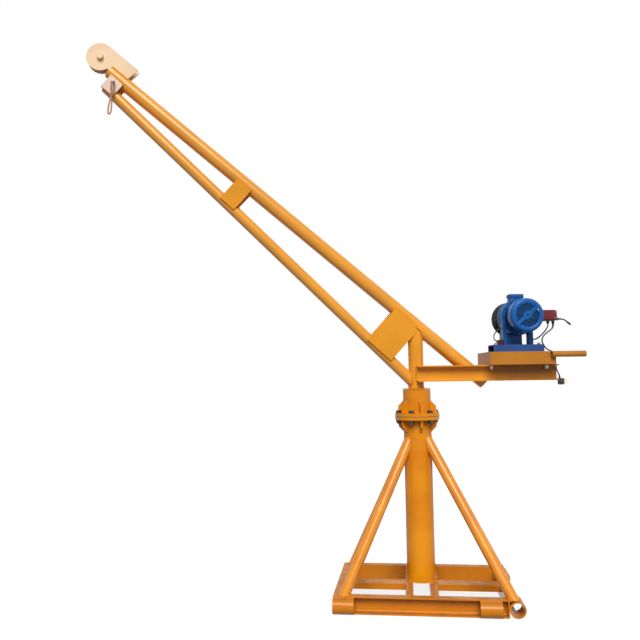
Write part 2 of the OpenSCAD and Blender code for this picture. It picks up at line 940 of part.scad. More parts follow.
cross_beams();
side_beams();
rails();
cross_members();
sleeves();
braces();
column();
lower_flange();
upper_flange();
flange_ribs();
bearing_housing();
bearing_bush();
flange_bolts();
spindle();
mast();
upper_boom_tube();
lower_boom_tube();
gussets();
tip_plates();
head_plates();
sheave();
sheave_pin();
link_pin();
hanging_link();
platform_channels();
tray();
tray_bolts();
handle();
winch_base();
motor_legs();
motor_body();
fan_cover();
terminal_box();
drum_shaft();
drum();
drum_rope();
gearbox();
gearbox_stand();
switch_box();
cable_glands();
power_cord();
plug();
motor_lead();
control_lead();
lead_connector();
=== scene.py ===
"""Finish of a portable slewing mini crane: weld seams, winch detail, cords, paint and a plain studio.

Every piece is made in metres in the crane's own frame. +Z is up, the jib points to -X, the winch
platform to +X, and the origin is on the ground on the slewing axis. The base is turned clockwise,
seen from above, against the jib. Only cord routes and turned profiles are written in millimetres.
"""

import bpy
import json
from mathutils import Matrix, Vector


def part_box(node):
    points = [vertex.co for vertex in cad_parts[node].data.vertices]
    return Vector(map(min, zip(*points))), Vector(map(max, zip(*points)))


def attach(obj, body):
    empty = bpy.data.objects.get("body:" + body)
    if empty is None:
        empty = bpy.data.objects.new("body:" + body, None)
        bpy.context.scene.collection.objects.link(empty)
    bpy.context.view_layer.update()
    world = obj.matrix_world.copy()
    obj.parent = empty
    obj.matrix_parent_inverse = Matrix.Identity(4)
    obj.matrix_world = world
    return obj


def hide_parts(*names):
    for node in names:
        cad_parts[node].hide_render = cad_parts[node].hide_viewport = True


bl_info = {
    "name": "Portable Mini Crane Finish",
    "version": (1, 0, 0),
    "blender": (4, 5, 0),
    "location": "View3D > Sidebar > Crane",
    "description": "Adds weld seams, winch detail, cords and procedural finishes to a portable mini crane",
    "category": "Object",
}

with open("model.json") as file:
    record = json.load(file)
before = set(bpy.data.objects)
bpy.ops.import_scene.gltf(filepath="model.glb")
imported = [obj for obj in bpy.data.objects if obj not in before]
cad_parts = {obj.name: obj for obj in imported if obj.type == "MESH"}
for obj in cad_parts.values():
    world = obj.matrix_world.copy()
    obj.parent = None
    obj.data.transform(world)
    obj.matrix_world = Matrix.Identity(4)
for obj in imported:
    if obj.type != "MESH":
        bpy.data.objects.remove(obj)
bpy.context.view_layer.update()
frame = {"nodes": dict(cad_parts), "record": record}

import json
from math import asin, copysign, cos, exp, pi, radians, sin, sqrt, tan, tau

import bpy
from bpy.props import FloatProperty, FloatVectorProperty, IntProperty, PointerProperty
from mathutils import Matrix, Vector
from mathutils.geometry import interpolate_bezier


def color_prop(name, description, default):
    return FloatVectorProperty(
        name=name, description=description, default=default, subtype="COLOR", size=3, min=0, max=1
    )


def length_prop(name, description, default):
    return FloatProperty(name=name, description=description, default=default, unit="LENGTH", min=0)


def angle_prop(name, description, degrees):
    return FloatProperty(name=name, description=description, default=radians(degrees), subtype="ANGLE")


def amount_prop(name, description, default, **options):
    return FloatProperty(name=name, description=description, default=default, min=0, **options)


class CraneStageSettings(bpy.types.PropertyGroup):
    eye: FloatVectorProperty(
        name="Camera position", description="Where the camera stands in the crane's frame",
        default=(-0.731, -3.549, 1.0715), subtype="TRANSLATION", unit="LENGTH",
    )
    heading: angle_prop("Camera heading", "Turn of the view from +Y towards +X", 3.903)
    pitch: angle_prop("Camera pitch", "How far the view looks up", 5.003)
    roll: angle_prop("Camera roll", "Turn of the picture about the line of sight", -0.795)
    lens: amount_prop("Lens", "Focal length on a 36 mm sensor", 39.375, unit="CAMERA")
    key_strength: amount_prop("Key light", "Strength of the broad light from the upper front", 3.25)
    key_angle: angle_prop("Key softness", "Angular size of the key light", 34)
    fill_power: amount_prop("Fill lamp", "Power of the soft lamp at the right", 22, unit="POWER")
    back_power: amount_prop("Back lamp", "Power of the soft lamp behind the crane", 105, unit="POWER")
    ambient: amount_prop("Ambient", "Strength of the even light all round", 0.13)
    floor: color_prop("Floor", "Colour of the studio floor", (0.21, 0.21, 0.21))


class CranePaintSettings(bpy.types.PropertyGroup):
    enamel: color_prop("Enamel", "Orange enamel on the frame", (0.82, 0.3, 0.006))
    enamel_deep: color_prop("Deep enamel", "Thicker runs of the orange enamel", (0.7, 0.215, 0.004))
    enamel_jib: color_prop("Jib enamel", "Lighter orange enamel on the jib", (0.86, 0.34, 0.02))
    # Painted shade: the orange enamel darkened on the ground frame for light that falls off towards the
    # ground
    enamel_base_shaded: color_prop("Base enamel in painted shade", "Orange enamel darkened as painted shade on the ground frame", (0.66, 0.21, 0.004))
    enamel_tray: color_prop("Tray enamel", "Browner enamel on the winch's tray", (0.52, 0.195, 0.02))
    # Painted shade under the tray's overhang, with oily dirt
    oil_and_shade: color_prop("Oily and shaded enamel", "Enamel browned by oil and by painted shade on the channels under the winch", (0.34, 0.125, 0.012))
    rod: color_prop("Rusted rod", "Pale rust on the hanging link", (0.66, 0.36, 0.22))
    blue_dull: color_prop("Dull blue", "Blue enamel on the winch's footing", (0.026, 0.08, 0.26))
    dust: color_prop("Dust", "Dry dust on faces that look up", (0.25, 0.12, 0.04))
    primer: color_prop("Primer", "Pale primer on the head plates", (0.92, 0.66, 0.42))
    tip: color_prop("Tip primer", "Chalky primer on the tip plates", (0.92, 0.72, 0.58))
    blue: color_prop("Blue", "Blue enamel on the winch", (0.008, 0.125, 0.44))
    maroon: color_prop("Maroon", "Maroon lids of the switch box", (0.2, 0.022, 0.03))
    black: color_prop("Black", "Rubber and moulded plastic", (0.012, 0.012, 0.013))
    steel: color_prop("Steel", "Bare and plated steel", (0.36, 0.35, 0.33))
    rust: color_prop("Rust", "Rust on bare steel", (0.3, 0.1, 0.03))
    peel: amount_prop("Orange peel", "Strength of the sprayed paint's fine ripple", 0.05, max=1)


class CraneWinchSettings(bpy.types.PropertyGroup):
    fins: IntProperty(name="Fins", description="Cooling fins round the motor", default=44, min=12, max=90)
    slot_pitch: length_prop("Slot pitch", "Distance between the fan cover's slots", 0.0115)
    slot_width: length_prop("Slot width", "Width of one slot in the fan cover", 0.0074)
    slot_reach: length_prop("Slot reach", "Radius that the slots fill", 0.0605)
    rope: length_prop("Rope", "Diameter of the hoist rope", 0.005)


class CraneSeamSettings(bpy.types.PropertyGroup):
    bead: length_prop("Bead", "Radius of a weld bead", 0.0042)
    ripple: length_prop("Ripple", "Distance between the bead's ripples", 0.0055)


class CraneCordSettings(bpy.types.PropertyGroup):
    power_diameter: length_prop("Power cord", "Diameter of the power cord", 0.007)
    control_diameter: length_prop("Control lead", "Diameter of the control lead", 0.007)


# ---------------------------------------------------------------- sizes


def metres(*points):
    """Points written in millimetres, in metres."""
    return [tuple(c / 1000 for c in point) for point in points]


BASE_TURN = -radians(11)
UPPER_ANGLE = radians(40.3)
LOWER_ANGLE = radians(44.5)
UPPER_R = 0.035
LOWER_R = 0.0285
MAST_R = 0.038
COLUMN_R = 0.07
BRACE_R = 0.0255
BEAM_TOP = 0.08
WINCH_X = 0.541
WINCH_Z = 1.388
WINCH_AXIS = (WINCH_X, 0.0, WINCH_Z)
FLANGE_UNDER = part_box("lower_flange")[0][2]
FLANGE_JOINT, FLANGE_TOP = (corner[2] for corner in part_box("upper_flange"))
CAP_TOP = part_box("spindle")[1][2]
UPPER_JOINT = CAP_TOP + 0.325
LOWER_JOINT = CAP_TOP + 0.014
PLATFORM_FOOT, PLATFORM_TOP = (corner[2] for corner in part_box("platform_channels"))
TRAY_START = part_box("tray")[0][0]
AROUND = [tau * i / 96 for i in range(96)]
POWER_ROUTE = metres(
    (702, -65, 1351), (702, -65, 1338), (696, -65, 1325), (685, -64, 1315), (673, -62, 1306),
    (661, -60, 1296), (651, -57, 1284), (646, -54, 1270), (648, -50, 1256), (656, -44, 1243),
    (666, -37, 1232), (677, -29, 1223), (690, -21, 1217), (704, -13, 1213), (713, -8, 1210),
    (721, -3, 1205), (728, 1, 1197), (731, 3, 1186), (732, 4, 1173), (734, 4, 1159), (736, 4, 1145),
    (737, 4, 1131), (739, 4, 1118), (743, 4, 1106), (748, 4, 1095), (752, 4, 1084), (753, 4, 1073),
)
CONTROL_ROUTE = metres(
    (728, -65, 1373), (741, -65, 1373), (754, -65, 1371), (766, -65, 1366), (776, -65, 1358)
)
BRAKE_ROUTE = metres(
    (422, -28, 1262), (412, -26, 1266), (406, -18, 1278), (410, -6, 1296),
    (424, 4, 1314), (441, 10, 1328), (458, 13, 1338), (472, 14, 1346),
)


def upper_axis(reach, rise, y):
    """A place on the upper tube: its distance from the mast, and its height above the tube's axis."""
    return Vector((
        -reach * cos(UPPER_ANGLE) + rise * sin(UPPER_ANGLE), y,
        UPPER_JOINT + reach * sin(UPPER_ANGLE) + rise * cos(UPPER_ANGLE),
    ))


def on_base(point):
    """A point of the base's own frame, in the crane's frame."""
    return Matrix.Rotation(BASE_TURN, 3, "Z") @ Vector(point)


def circle(radius, z):
    """Places round the slewing axis."""
    return [(radius * cos(a), radius * sin(a), z) for a in AROUND]


# ---------------------------------------------------------------- modelling


def switch(mode):
    bpy.ops.object.mode_set(mode=mode)


def deselect():
    if bpy.context.object and bpy.context.object.mode != "OBJECT":
        switch("OBJECT")
    bpy.ops.object.select_all(action="DESELECT")


def activate(obj):
    deselect()
    obj.select_set(True)
    bpy.context.view_layer.objects.active = obj


def edit_all():
    switch("EDIT")
    bpy.ops.mesh.select_all(action="SELECT")


def freeze():
    """Takes the object's own place, turn and scale into its mesh."""
    bpy.ops.object.transform_apply(location=True, rotation=True, scale=True)


def lathe(profile, centre, steps):
    """Spins (distance along +Y, radius) pairs, in millimetres, round the Y axis through centre."""
    deselect()
    bpy.ops.mesh.primitive_plane_add(size=0.01)
    obj = bpy.context.object
    edit_all()
    bpy.ops.mesh.merge(type="CENTER")
    points = [Vector((centre[0], centre[1] + y / 1000, centre[2] + r / 1000)) for y, r in profile]
    bpy.ops.transform.translate(value=points[0])
    for a, b in zip(points, points[1:]):
        bpy.ops.mesh.extrude_region_move(TRANSFORM_OT_translate={"value": b - a})
    bpy.ops.mesh.select_all(action="SELECT")
    bpy.ops.mesh.spin(steps=steps, angle=tau, center=centre, axis=(0, 1, 0))
    bpy.ops.mesh.select_all(action="SELECT")
    bpy.ops.mesh.remove_doubles(threshold=1e-5)
    bpy.ops.mesh.normals_make_consistent(inside=False)
    switch("OBJECT")
    return obj


def block(low, high, bevel=0.0, segments=2):
    """A block between two corners with rounded edges."""
    deselect()
    low, high = Vector(low), Vector(high)
    bpy.ops.mesh.primitive_cube_add(size=1, location=(low + high) / 2)
    obj = bpy.context.object
    obj.scale = high - low
    freeze()
    if bevel:
        edit_all()
        bpy.ops.mesh.bevel(offset=bevel, segments=segments, affect="EDGES", clamp_overlap=True)
        switch("OBJECT")
    return obj


def pick(obj, kind, test):
    """Selects the edges or faces of obj that pass a test, and stays in edit mode."""
    activate(obj)
    switch("EDIT")
    bpy.ops.mesh.select_mode(type=kind)
    bpy.ops.mesh.select_all(action="DESELECT")
    switch("OBJECT")
    for item in {"EDGE": obj.data.edges, "FACE": obj.data.polygons}[kind]:
        item.select = bool(test(item))
    switch("EDIT")


def leave():
    bpy.ops.mesh.select_mode(type="VERT")
    switch("OBJECT")


def panel(obj, test, *insets):
    """Insets the faces that pass a test, once for each (thickness, depth) pair."""
    pick(obj, "FACE", test)
    for thickness, depth in insets:
        bpy.ops.mesh.inset(thickness=thickness, depth=depth)
    leave()


def prism(sides, radius, height, bevel=0.0):
    """A prism standing on the origin with its top edge rounded, such as a bolt's head."""
    deselect()
    bpy.ops.mesh.primitive_cylinder_add(
        vertices=sides, radius=radius, depth=height, location=(0, 0, height / 2)
    )
    obj = bpy.context.object
    freeze()
    if bevel:
        pick(obj, "FACE", lambda face: face.normal.z > 0.9)
        bpy.ops.mesh.bevel(offset=bevel, segments=2, affect="EDGES")
        leave()
    return obj


def round_edges(obj, axis, offset, segments=4):
    """Rounds the edges of a block that run along one axis."""
    ends = obj.data.vertices

    def along(edge):
        line = ends[edge.vertices[1]].co - ends[edge.vertices[0]].co
        return abs(line[axis]) > 0.99 * line.length

    pick(obj, "EDGE", along)
    bpy.ops.mesh.bevel(offset=offset, segments=segments, affect="EDGES")
    leave()
    return obj


def modify(obj, kind, **settings):
    """Adds a modifier with its settings and applies it."""
    activate(obj)
    bpy.ops.object.modifier_add(type=kind)
    change = obj.modifiers[-1]
    for key, value in settings.items():
        setattr(change, key, value)
    bpy.ops.object.modifier_apply(modifier=change.name)
    return obj


def soften(obj, width, segments=2):
    """A bevel on every sharp edge of a piece."""
    sharp = radians(40)
    return modify(obj, "BEVEL", width=width, segments=segments, limit_method="ANGLE", angle_limit=sharp)


def copies(shape, places):
    """Copies of a shape, each with its own mesh, one for each matrix and in place of the shape."""
    made = []
    for matrix in places:
        copy = shape.copy()
        copy.data = shape.data.copy()
        bpy.context.collection.objects.link(copy)
        copy.data.transform(matrix)
        made.append(copy)
    bpy.data.objects.remove(shape, do_unlink=True)
    return made


def spin_y(count, i, start=0.0):
    """The turn round the Y axis of number i of count evenly spread shapes."""
    return Matrix.Rotation(start + tau * i / count, 4, "Y")


def ring_of(shape, count, start=0.0):
    """Copies of a shape made round the Y axis at the origin, spread evenly round the winch's axis."""
    return copies(shape, [Matrix.Translation(WINCH_AXIS) @ spin_y(count, i, start) for i in range(count)])


def aim(point, direction):
    """The matrix that takes the origin to point and +Z to direction."""
    return Matrix.Translation(point) @ Vector(direction).to_track_quat("Z", "Y").to_matrix().to_4x4()


def turned(profile, point, direction):
    """A small lathe shape that starts near a point and runs off in a direction."""
    obj = lathe(profile, (0, 0, 0), 24)
    obj.data.transform(aim(point, direction) @ Matrix.Rotation(radians(90), 4, "X"))
    return obj


def join(objs):
    deselect()
    for obj in objs:
        obj.select_set(True)
    bpy.context.view_layer.objects.active = objs[0]
    if len(objs) > 1:
        bpy.ops.object.join()
    return bpy.context.object


def new_curve(name, radius, resolution):
    """An empty 3D curve with a round section, ready for its splines."""
    curve = bpy.data.curves.new(name, "CURVE")
    curve.dimensions = "3D"
    curve.bevel_depth = radius
    curve.bevel_resolution = resolution
    curve.use_fill_caps = True
    obj = bpy.data.objects.new(name, curve)
    bpy.context.collection.objects.link(obj)
    return obj


def rods(paths, radius, resolution=1):
    """Round bars: each path is its (place, share of the radius) points and whether it closes."""
    deselect()
    obj = new_curve("rods", radius, resolution)
    for points, closed in paths:
        line = obj.data.splines.new("POLY")
        line.points.add(len(points) - 1)
        line.use_cyclic_u = closed
        for point, (place, share) in zip(line.points, points):
            point.co = (*place, 1)
            point.radius = share
    activate(obj)
    bpy.ops.object.convert(target="MESH")
    return bpy.context.object


def even_steps(points, step, closed=False):
    """Evenly spaced places on the line through points."""
    line = [Vector(p) for p in points]
    if closed:
        line.append(line[0])
    spans = [(b - a).length for a, b in zip(line, line[1:])]
    total = sum(spans)
    count = max(2, 2 * round(total / step / 2))
    places, i, walked = [], 0, 0.0
    for k in range(count if closed else count + 1):
        want = total * k / count
        while i < len(spans) - 1 and walked + spans[i] < want:
            walked += spans[i]
            i += 1
        places.append(line[i].lerp(line[i + 1], (want - walked) / max(spans[i], 1e-9)))
    return places


def seam(points, closed=False, size=1.0):
    """A weld bead's line, with its ripples as changes of radius."""
    line = even_steps(points, bpy.context.scene.crane_seams.ripple / 2, closed)
    return [(p, size * (1.0 if i % 2 else 0.76)) for i, p in enumerate(line)], closed


def done(obj, name, material, smooth=35, body="jib"):
    """Names a finished piece, gives it its material and lets it ride on its body.

    Edges that turn by less than smooth, in degrees, are shaded round.
    """
    activate(obj)
    freeze()
    bpy.ops.object.shade_smooth_by_angle(angle=radians(smooth))
    obj.name = name
    obj.data.name = name
    obj.data.materials.clear()
    obj.data.materials.append(bpy.data.materials[material])
    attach(obj, body)
    deselect()
    return obj


def fasten(shape, spots, name, material="dark bolts"):
    """A set of like bolts or screws: each spot is where one stands and which way it points."""
    done(join(copies(shape, [aim(point, way) for point, way in spots])), name, material, 30)


# ---------------------------------------------------------------- materials


class Net:
    """Adds linked nodes to the tree of a material, a shader group or the world."""

    def __init__(self, tree):
        self.tree = tree

    def put(self, value, socket):
        """Links a socket to another, or sets it."""
        if isinstance(value, bpy.types.NodeSocket):
            self.tree.links.new(value, socket)
        else:
            socket.default_value = value

    def add(self, kind, *values, **named):
        """A node: values go to its inputs in order, and named ones to an input or a lower-case setting."""
        node = self.tree.nodes.new(kind)
        for key in [key for key in named if key.islower()]:
            setattr(node, key, named.pop(key))
        for key, value in [*enumerate(values), *named.items()]:
            self.put(value, node.inputs[key])
        return node

    def place(self):
        return self.add("ShaderNodeTexCoord").outputs["Object"]

    def split(self, vector):
        return self.add("ShaderNodeSeparateXYZ", vector).outputs

    def grey(self, value):
        return self.add("ShaderNodeCombineColor", value, value, value).outputs[0]

    def maths(self, operation, a, b=0.0, clamp=False):
        return self.add("ShaderNodeMath", a, b, operation=operation, use_clamp=clamp).outputs[0]

    def times(self, a, b, clamp=False):
        return self.maths("MULTIPLY", a, b, clamp)

    def plus(self, a, b, clamp=False):
        return self.maths("ADD", a, b, clamp)

    def spread(self, value, low, high, to_low=0.0, to_high=1.0):
        return self.add("ShaderNodeMapRange", value, low, high, to_low, to_high).outputs[0]

    def noise(self, vector, scale, detail=3.0, roughness=0.5):
        node = self.add("ShaderNodeTexNoise", Vector=vector, Scale=scale, Detail=detail, Roughness=roughness)
        return node.outputs["Fac"]

    def mix(self, factor, a, b, blend="MIX"):
        node = self.add("ShaderNodeMix", data_type="RGBA", blend_type=blend)
        for i, value in ((0, factor), (6, a), (7, b)):
            self.put(value, node.inputs[i])
        return node.outputs[2]

    def relief(self, surface, height, distance, strength):
        bump = self.add("ShaderNodeBump", Height=height, Distance=distance, Strength=strength)
        self.put(bump.outputs[0], surface.inputs["Normal"])

    def seen(self):
        """1 where the background is looked at, straight or in metal or glass, and 0 where it gives light."""
        ray = self.add("ShaderNodeLightPath").outputs
        seen = self.maths("MAXIMUM", ray["Is Camera Ray"], ray["Is Glossy Ray"])
        return self.maths("MAXIMUM", seen, ray["Is Transmission Ray"])


def rgba(value):
    return (*value, 1.0)


def shade(paint, share):
    return [c * share for c in paint]


def new_group(name, colors, values, outputs=("Roughness", "Height")):
    """A shader group that takes colours and values, and gives a colour and values."""
    tree = bpy.data.node_groups.new(name, "ShaderNodeTree")
    for way, kind, labels in (
        ("INPUT", "Color", colors), ("INPUT", "Float", values),
        ("OUTPUT", "Color", ["Color"]), ("OUTPUT", "Float", outputs),
    ):
        for label in labels:
            tree.interface.new_socket(label, in_out=way, socket_type="NodeSocket" + kind)
    return Net(tree), tree.nodes.new("NodeGroupInput").outputs, tree.nodes.new("NodeGroupOutput").inputs


def film_group():
    """Sprayed enamel: tone drift, runs, dust on faces that look up, small chips and fine ripple."""
    net, given, out = new_group(
        "enamel film", ["Paint", "Deep", "Dust", "Chip"], ["Gloss", "Dust Amount", "Chip Amount", "Peel"]
    )
    place = net.place()
    drift = net.spread(net.noise(place, 5.0), 0.38, 0.66)
    tone = net.mix(drift, given["Paint"], given["Deep"])
    run = net.add("ShaderNodeMapping", Vector=place, Scale=(70, 70, 5)).outputs[0]
    runs = net.spread(net.noise(run, 1.0, 2.0), 0.56, 0.78, 0.0, 0.35)
    tone = net.mix(runs, tone, given["Deep"])
    up = net.split(net.add("ShaderNodeNewGeometry").outputs["Normal"])[2]
    patch = net.spread(net.noise(place, 26.0, 4.0, 0.6), 0.32, 0.66, 0.25, 1.0)
    dust = net.times(net.times(net.spread(up, 0.55, 0.98), patch), given["Dust Amount"], True)
    film = net.mix(dust, tone, given["Dust"])
    worn = net.spread(net.noise(place, 7.0, 2.0), 0.42, 0.68)
    speck = net.spread(net.noise(place, 95.0, 4.0, 0.65), 0.655, 0.69)
    chips = net.times(net.times(worn, speck), given["Chip Amount"], True)
    net.put(net.mix(chips, film, given["Chip"]), out["Color"])
    rough = net.plus(net.plus(given["Gloss"], net.times(dust, 0.6)), net.times(drift, 0.05))
    net.put(net.plus(rough, net.times(chips, 0.35), True), out["Roughness"])
    ripple = net.times(net.noise(place, 90.0, 2.0), given["Peel"])
    net.put(net.maths("SUBTRACT", ripple, net.times(chips, 0.5)), out["Height"])
    return net.tree


def bare_group():
    """Bare or plated steel with fine brushing and rust that gathers in patches."""
    net, given, out = new_group(
        "bare steel", ["Metal", "Rust"], ["Rust Amount", "Polish", "Grain"],
        ["Roughness", "Metallic", "Height"],
    )
    place = net.place()
    low = net.maths("SUBTRACT", 0.72, net.times(given["Rust Amount"], 0.45))
    rust = net.spread(net.noise(place, 30.0, 5.0, 0.65), low, net.plus(low, 0.12))
    brushed = net.grey(net.spread(net.noise(place, 120.0), 0.3, 0.7, 0.75, 1.1))
    metal = net.mix(1.0, given["Metal"], brushed, "MULTIPLY")
    stain = net.mix(net.spread(net.noise(place, 180.0), 0.35, 0.65), given["Rust"], (0.09, 0.035, 0.016, 1))
    net.put(net.mix(rust, metal, stain), out["Color"])
    net.put(net.plus(given["Polish"], net.times(rust, 0.4), True), out["Roughness"])
    net.put(net.maths("SUBTRACT", 1.0, rust, True), out["Metallic"])
    pits = net.times(net.noise(place, 320.0), given["Grain"])
    net.put(net.plus(pits, net.times(rust, 0.4)), out["Height"])
    return net.tree


def mould_group():
    """Rubber or moulded plastic with a fine grain and a dusty bloom."""
    net, given, out = new_group("moulded grain", ["Tone", "Bloom"], ["Bloom Amount", "Sheen", "Grain"])
    place = net.place()
    bloom = net.times(net.spread(net.noise(place, 40.0, 4.0, 0.6), 0.45, 0.8), given["Bloom Amount"])
    net.put(net.mix(bloom, given["Tone"], given["Bloom"]), out["Color"])
    net.put(net.plus(given["Sheen"], net.times(bloom, 0.5), True), out["Roughness"])
    net.put(net.times(net.noise(place, 900.0, 2.0), given["Grain"]), out["Height"])
    return net.tree


def new_material(name):
    """A new material with its net and its shader."""
    mat = bpy.data.materials.new(name)
    mat.use_nodes = True
    return mat, Net(mat.node_tree), mat.node_tree.nodes["Principled BSDF"]


def finish(name, group, values, shine=0.5):
    """A material of one shared group and the shader. Returns its net, its shader and the group's colour."""
    mat, net, surface = new_material(name)
    made = net.add("ShaderNodeGroup", node_tree=group, **values).outputs
    for label, socket in (("Color", "Base Color"), ("Roughness", "Roughness"), ("Metallic", "Metallic")):
        if label in made:
            net.put(made[label], surface.inputs[socket])
    net.relief(surface, made["Height"], 0.0006, 0.5)
    surface.inputs["Specular IOR Level"].default_value = shine
    return net, surface, made["Color"]


def add_strands(net, surface, color):
    """Strands that lie aslant to the rope's turns, from the angle round the drum, with painted shade in the
    grooves between them.
    """
    apart = net.add("ShaderNodeVectorMath", net.place(), (WINCH_X, 0, WINCH_Z), operation="SUBTRACT")
    axes = net.split(apart.outputs[0])
    turn = net.maths("ARCTAN2", axes[0], axes[2])
    phase = net.plus(net.times(turn, 170.0), net.times(axes[1], 1200.0))
    strands = net.spread(net.maths("SINE", phase), -1, 1)
    # Painted shade: the grooves between the strands are darkened
    groove = net.spread(strands, 0.0, 0.6, 0.75, 0.0)
    net.put(net.mix(groove, color, (0.012, 0.011, 0.01, 1)), surface.inputs["Base Color"])
    net.relief(surface, strands, 0.0007, 0.9)


def add_oil_and_shade(net, surface, color, oil_and_shade):
    """Oily dirt on the channels, with painted shade of the tray's overhang, from where the tray begins."""
    place = net.place()
    below = net.spread(net.split(place)[0], TRAY_START - 0.03, TRAY_START + 0.05)
    # Browns the channels in patches past the tray's start: painted shade of the tray's overhang, with oily
    # dirt
    dirt_and_shade = net.times(below, net.spread(net.noise(place, 9.0), 0.2, 0.5, 0.6, 0.95))
    net.put(net.mix(dirt_and_shade, color, rgba(oil_and_shade)), surface.inputs["Base Color"])


class CRANE_OT_finishes(bpy.types.Operator):
    """Makes the crane's materials and gives each frame node its own"""

    bl_idname = "crane.finishes"
    bl_label = "Finishes"

    by_slot = {
        "orange_paint": "orange enamel", "primer": "pale primer", "steel": "plated steel",
        "blue_paint": "blue enamel", "maroon_plastic": "maroon lid", "black_rubber": "black rubber",
        "rope": "rope strands", "rust": "rusted rod",
    }
    by_node = {
        "dark bolts": ("flange_bolts", "drum"), "worn steel": ("sheave", "bearing_bush"),
        "pale primer": ("sheave_pin",), "tip primer": ("link_pin", "tip_plates"),
        "base enamel in painted shade": ("cross_beams", "side_beams", "rails", "cross_members", "sleeves"),
        "tray enamel": ("tray", "handle"), "platform enamel": ("platform_channels",),
        "jib enamel": ("mast", "gussets"), "tube enamel": ("upper_boom_tube", "lower_boom_tube"),
        "brace enamel": ("braces",), "dull blue enamel": ("winch_base",),
    }

    def enamels(self, p):
        film = film_group()

        def enamel(name, paint, deep, chip, gloss=0.17, dust=0.6, chips=0.5, dust_tone=p.dust, shine=0.19,
                   peel=p.peel):
            if isinstance(deep, float):
                deep = shade(paint, deep)
            return finish(name, film, {
                "Paint": rgba(paint), "Deep": rgba(deep), "Dust": rgba(dust_tone), "Chip": rgba(chip),
                "Gloss": gloss, "Dust Amount": dust, "Chip Amount": chips, "Peel": peel,
            }, shine)

        rusty = (0.1, 0.035, 0.015)
        sleek = {"gloss": 0.21, "dust": 0.4, "shine": 0.46, "peel": 0.2 * p.peel}
        enamel("orange enamel", p.enamel, p.enamel_deep, rusty)
        enamel("tube enamel", p.enamel_jib, 0.87, rusty, **sleek)
        enamel("brace enamel", p.enamel, p.enamel_deep, rusty, **sleek)
        enamel("jib enamel", p.enamel_jib, 0.87, rusty)
        # Painted shade: a darker copy of the orange enamel on the ground frame, for light that falls off
        # towards the ground
        enamel("base enamel in painted shade", p.enamel_base_shaded, 0.84, rusty)
        enamel("tray enamel", p.enamel_tray, 0.82, (0.08, 0.03, 0.015), 0.34, 0.8, 0.8)
        # The platform channels carry painted shade under the tray, with oily dirt
        add_oil_and_shade(*enamel("platform enamel", p.enamel_jib, 0.87, rusty), p.oil_and_shade)
        enamel("seam enamel", shade(p.enamel, 0.86), p.enamel_deep, (0.09, 0.03, 0.012), 0.3)
        enamel("pale primer", p.primer, 0.93, (0.3, 0.16, 0.08), 0.45, 0.2, 0.5)
        enamel("tip primer", p.tip, 0.9, (0.42, 0.24, 0.18), 0.45, 0.2, 0.8)
        enamel("rusted rod", p.rod, 0.62, (0.16, 0.05, 0.02), 0.5, 0.2, 0.9)
        enamel("blue enamel", p.blue, 0.75, (0.05, 0.06, 0.07), 0.26, 0.35, 0.5, (0.1, 0.16, 0.24))
        enamel("dull blue enamel", p.blue_dull, 0.7, (0.04, 0.05, 0.06), 0.38, 0.5, 0.7, (0.1, 0.14, 0.2))
        enamel("maroon lid", p.maroon, 0.8, (0.03, 0.01, 0.01), 0.3, 0.3, 0.2, (0.2, 0.1, 0.09))
        # Painted shade: a darker copy of the maroon for the brake box, which sits in the shade under the
        # motor
        enamel("maroon in painted shade", shade(p.maroon, 0.35), shade(p.maroon, 0.25), (0.02, 0.008, 0.008), 0.35, 0.3,
               0.2, (0.06, 0.03, 0.03))

    def metals(self, p):
        bare = bare_group()

        def steel(name, metal=p.steel, amount=0.25, polish=0.38, rust=p.rust, grain=0.4):
            return finish(name, bare, {
                "Metal": rgba(metal), "Rust": rgba(rust), "Rust Amount": amount, "Polish": polish,
                "Grain": grain,
            })

        steel("plated steel")
        steel("dark bolts", (0.07, 0.065, 0.06), 0.3, 0.45)
        steel("worn steel", p.steel, 0.55, 0.45)
        steel("brass blades", (0.72, 0.5, 0.2), 0.1, 0.3, (0.25, 0.15, 0.06))
        add_strands(*steel("rope strands", (0.022, 0.022, 0.022), 0.35, 0.5, (0.03, 0.018, 0.012), 0.5))

    def rubbers(self, p):
        mould = mould_group()
        for name, tone, bloom, sheen, grain in (
            ("black rubber", p.black, 0.25, 0.42, 0.4), ("dark hollow", (0.004, 0.004, 0.005), 0.1, 0.7, 0.3),
        ):
            finish(name, mould, {
                "Tone": rgba(tone), "Bloom": (0.2, 0.19, 0.17, 1), "Bloom Amount": bloom, "Sheen": sheen,
                "Grain": grain,
            })

    def execute(self, context):
        paint = context.scene.crane_paint
        self.enamels(paint)
        self.metals(paint)
        self.rubbers(paint)
        own = {node: name for name, nodes in self.by_node.items() for node in nodes}
        for part in frame["record"]["subparts"]:
            obj = frame["nodes"][part["node"]]
            name = own.get(part["node"], self.by_slot[part["material_slot"]])
            for i in range(len(obj.data.materials)):
                obj.material_slots[i].material = bpy.data.materials[name]
        return {"FINISHED"}


# ---------------------------------------------------------------- stage


def point_light(obj, direction):
    obj.rotation_euler = Vector(direction).to_track_quat("-Z", "Y").to_euler()


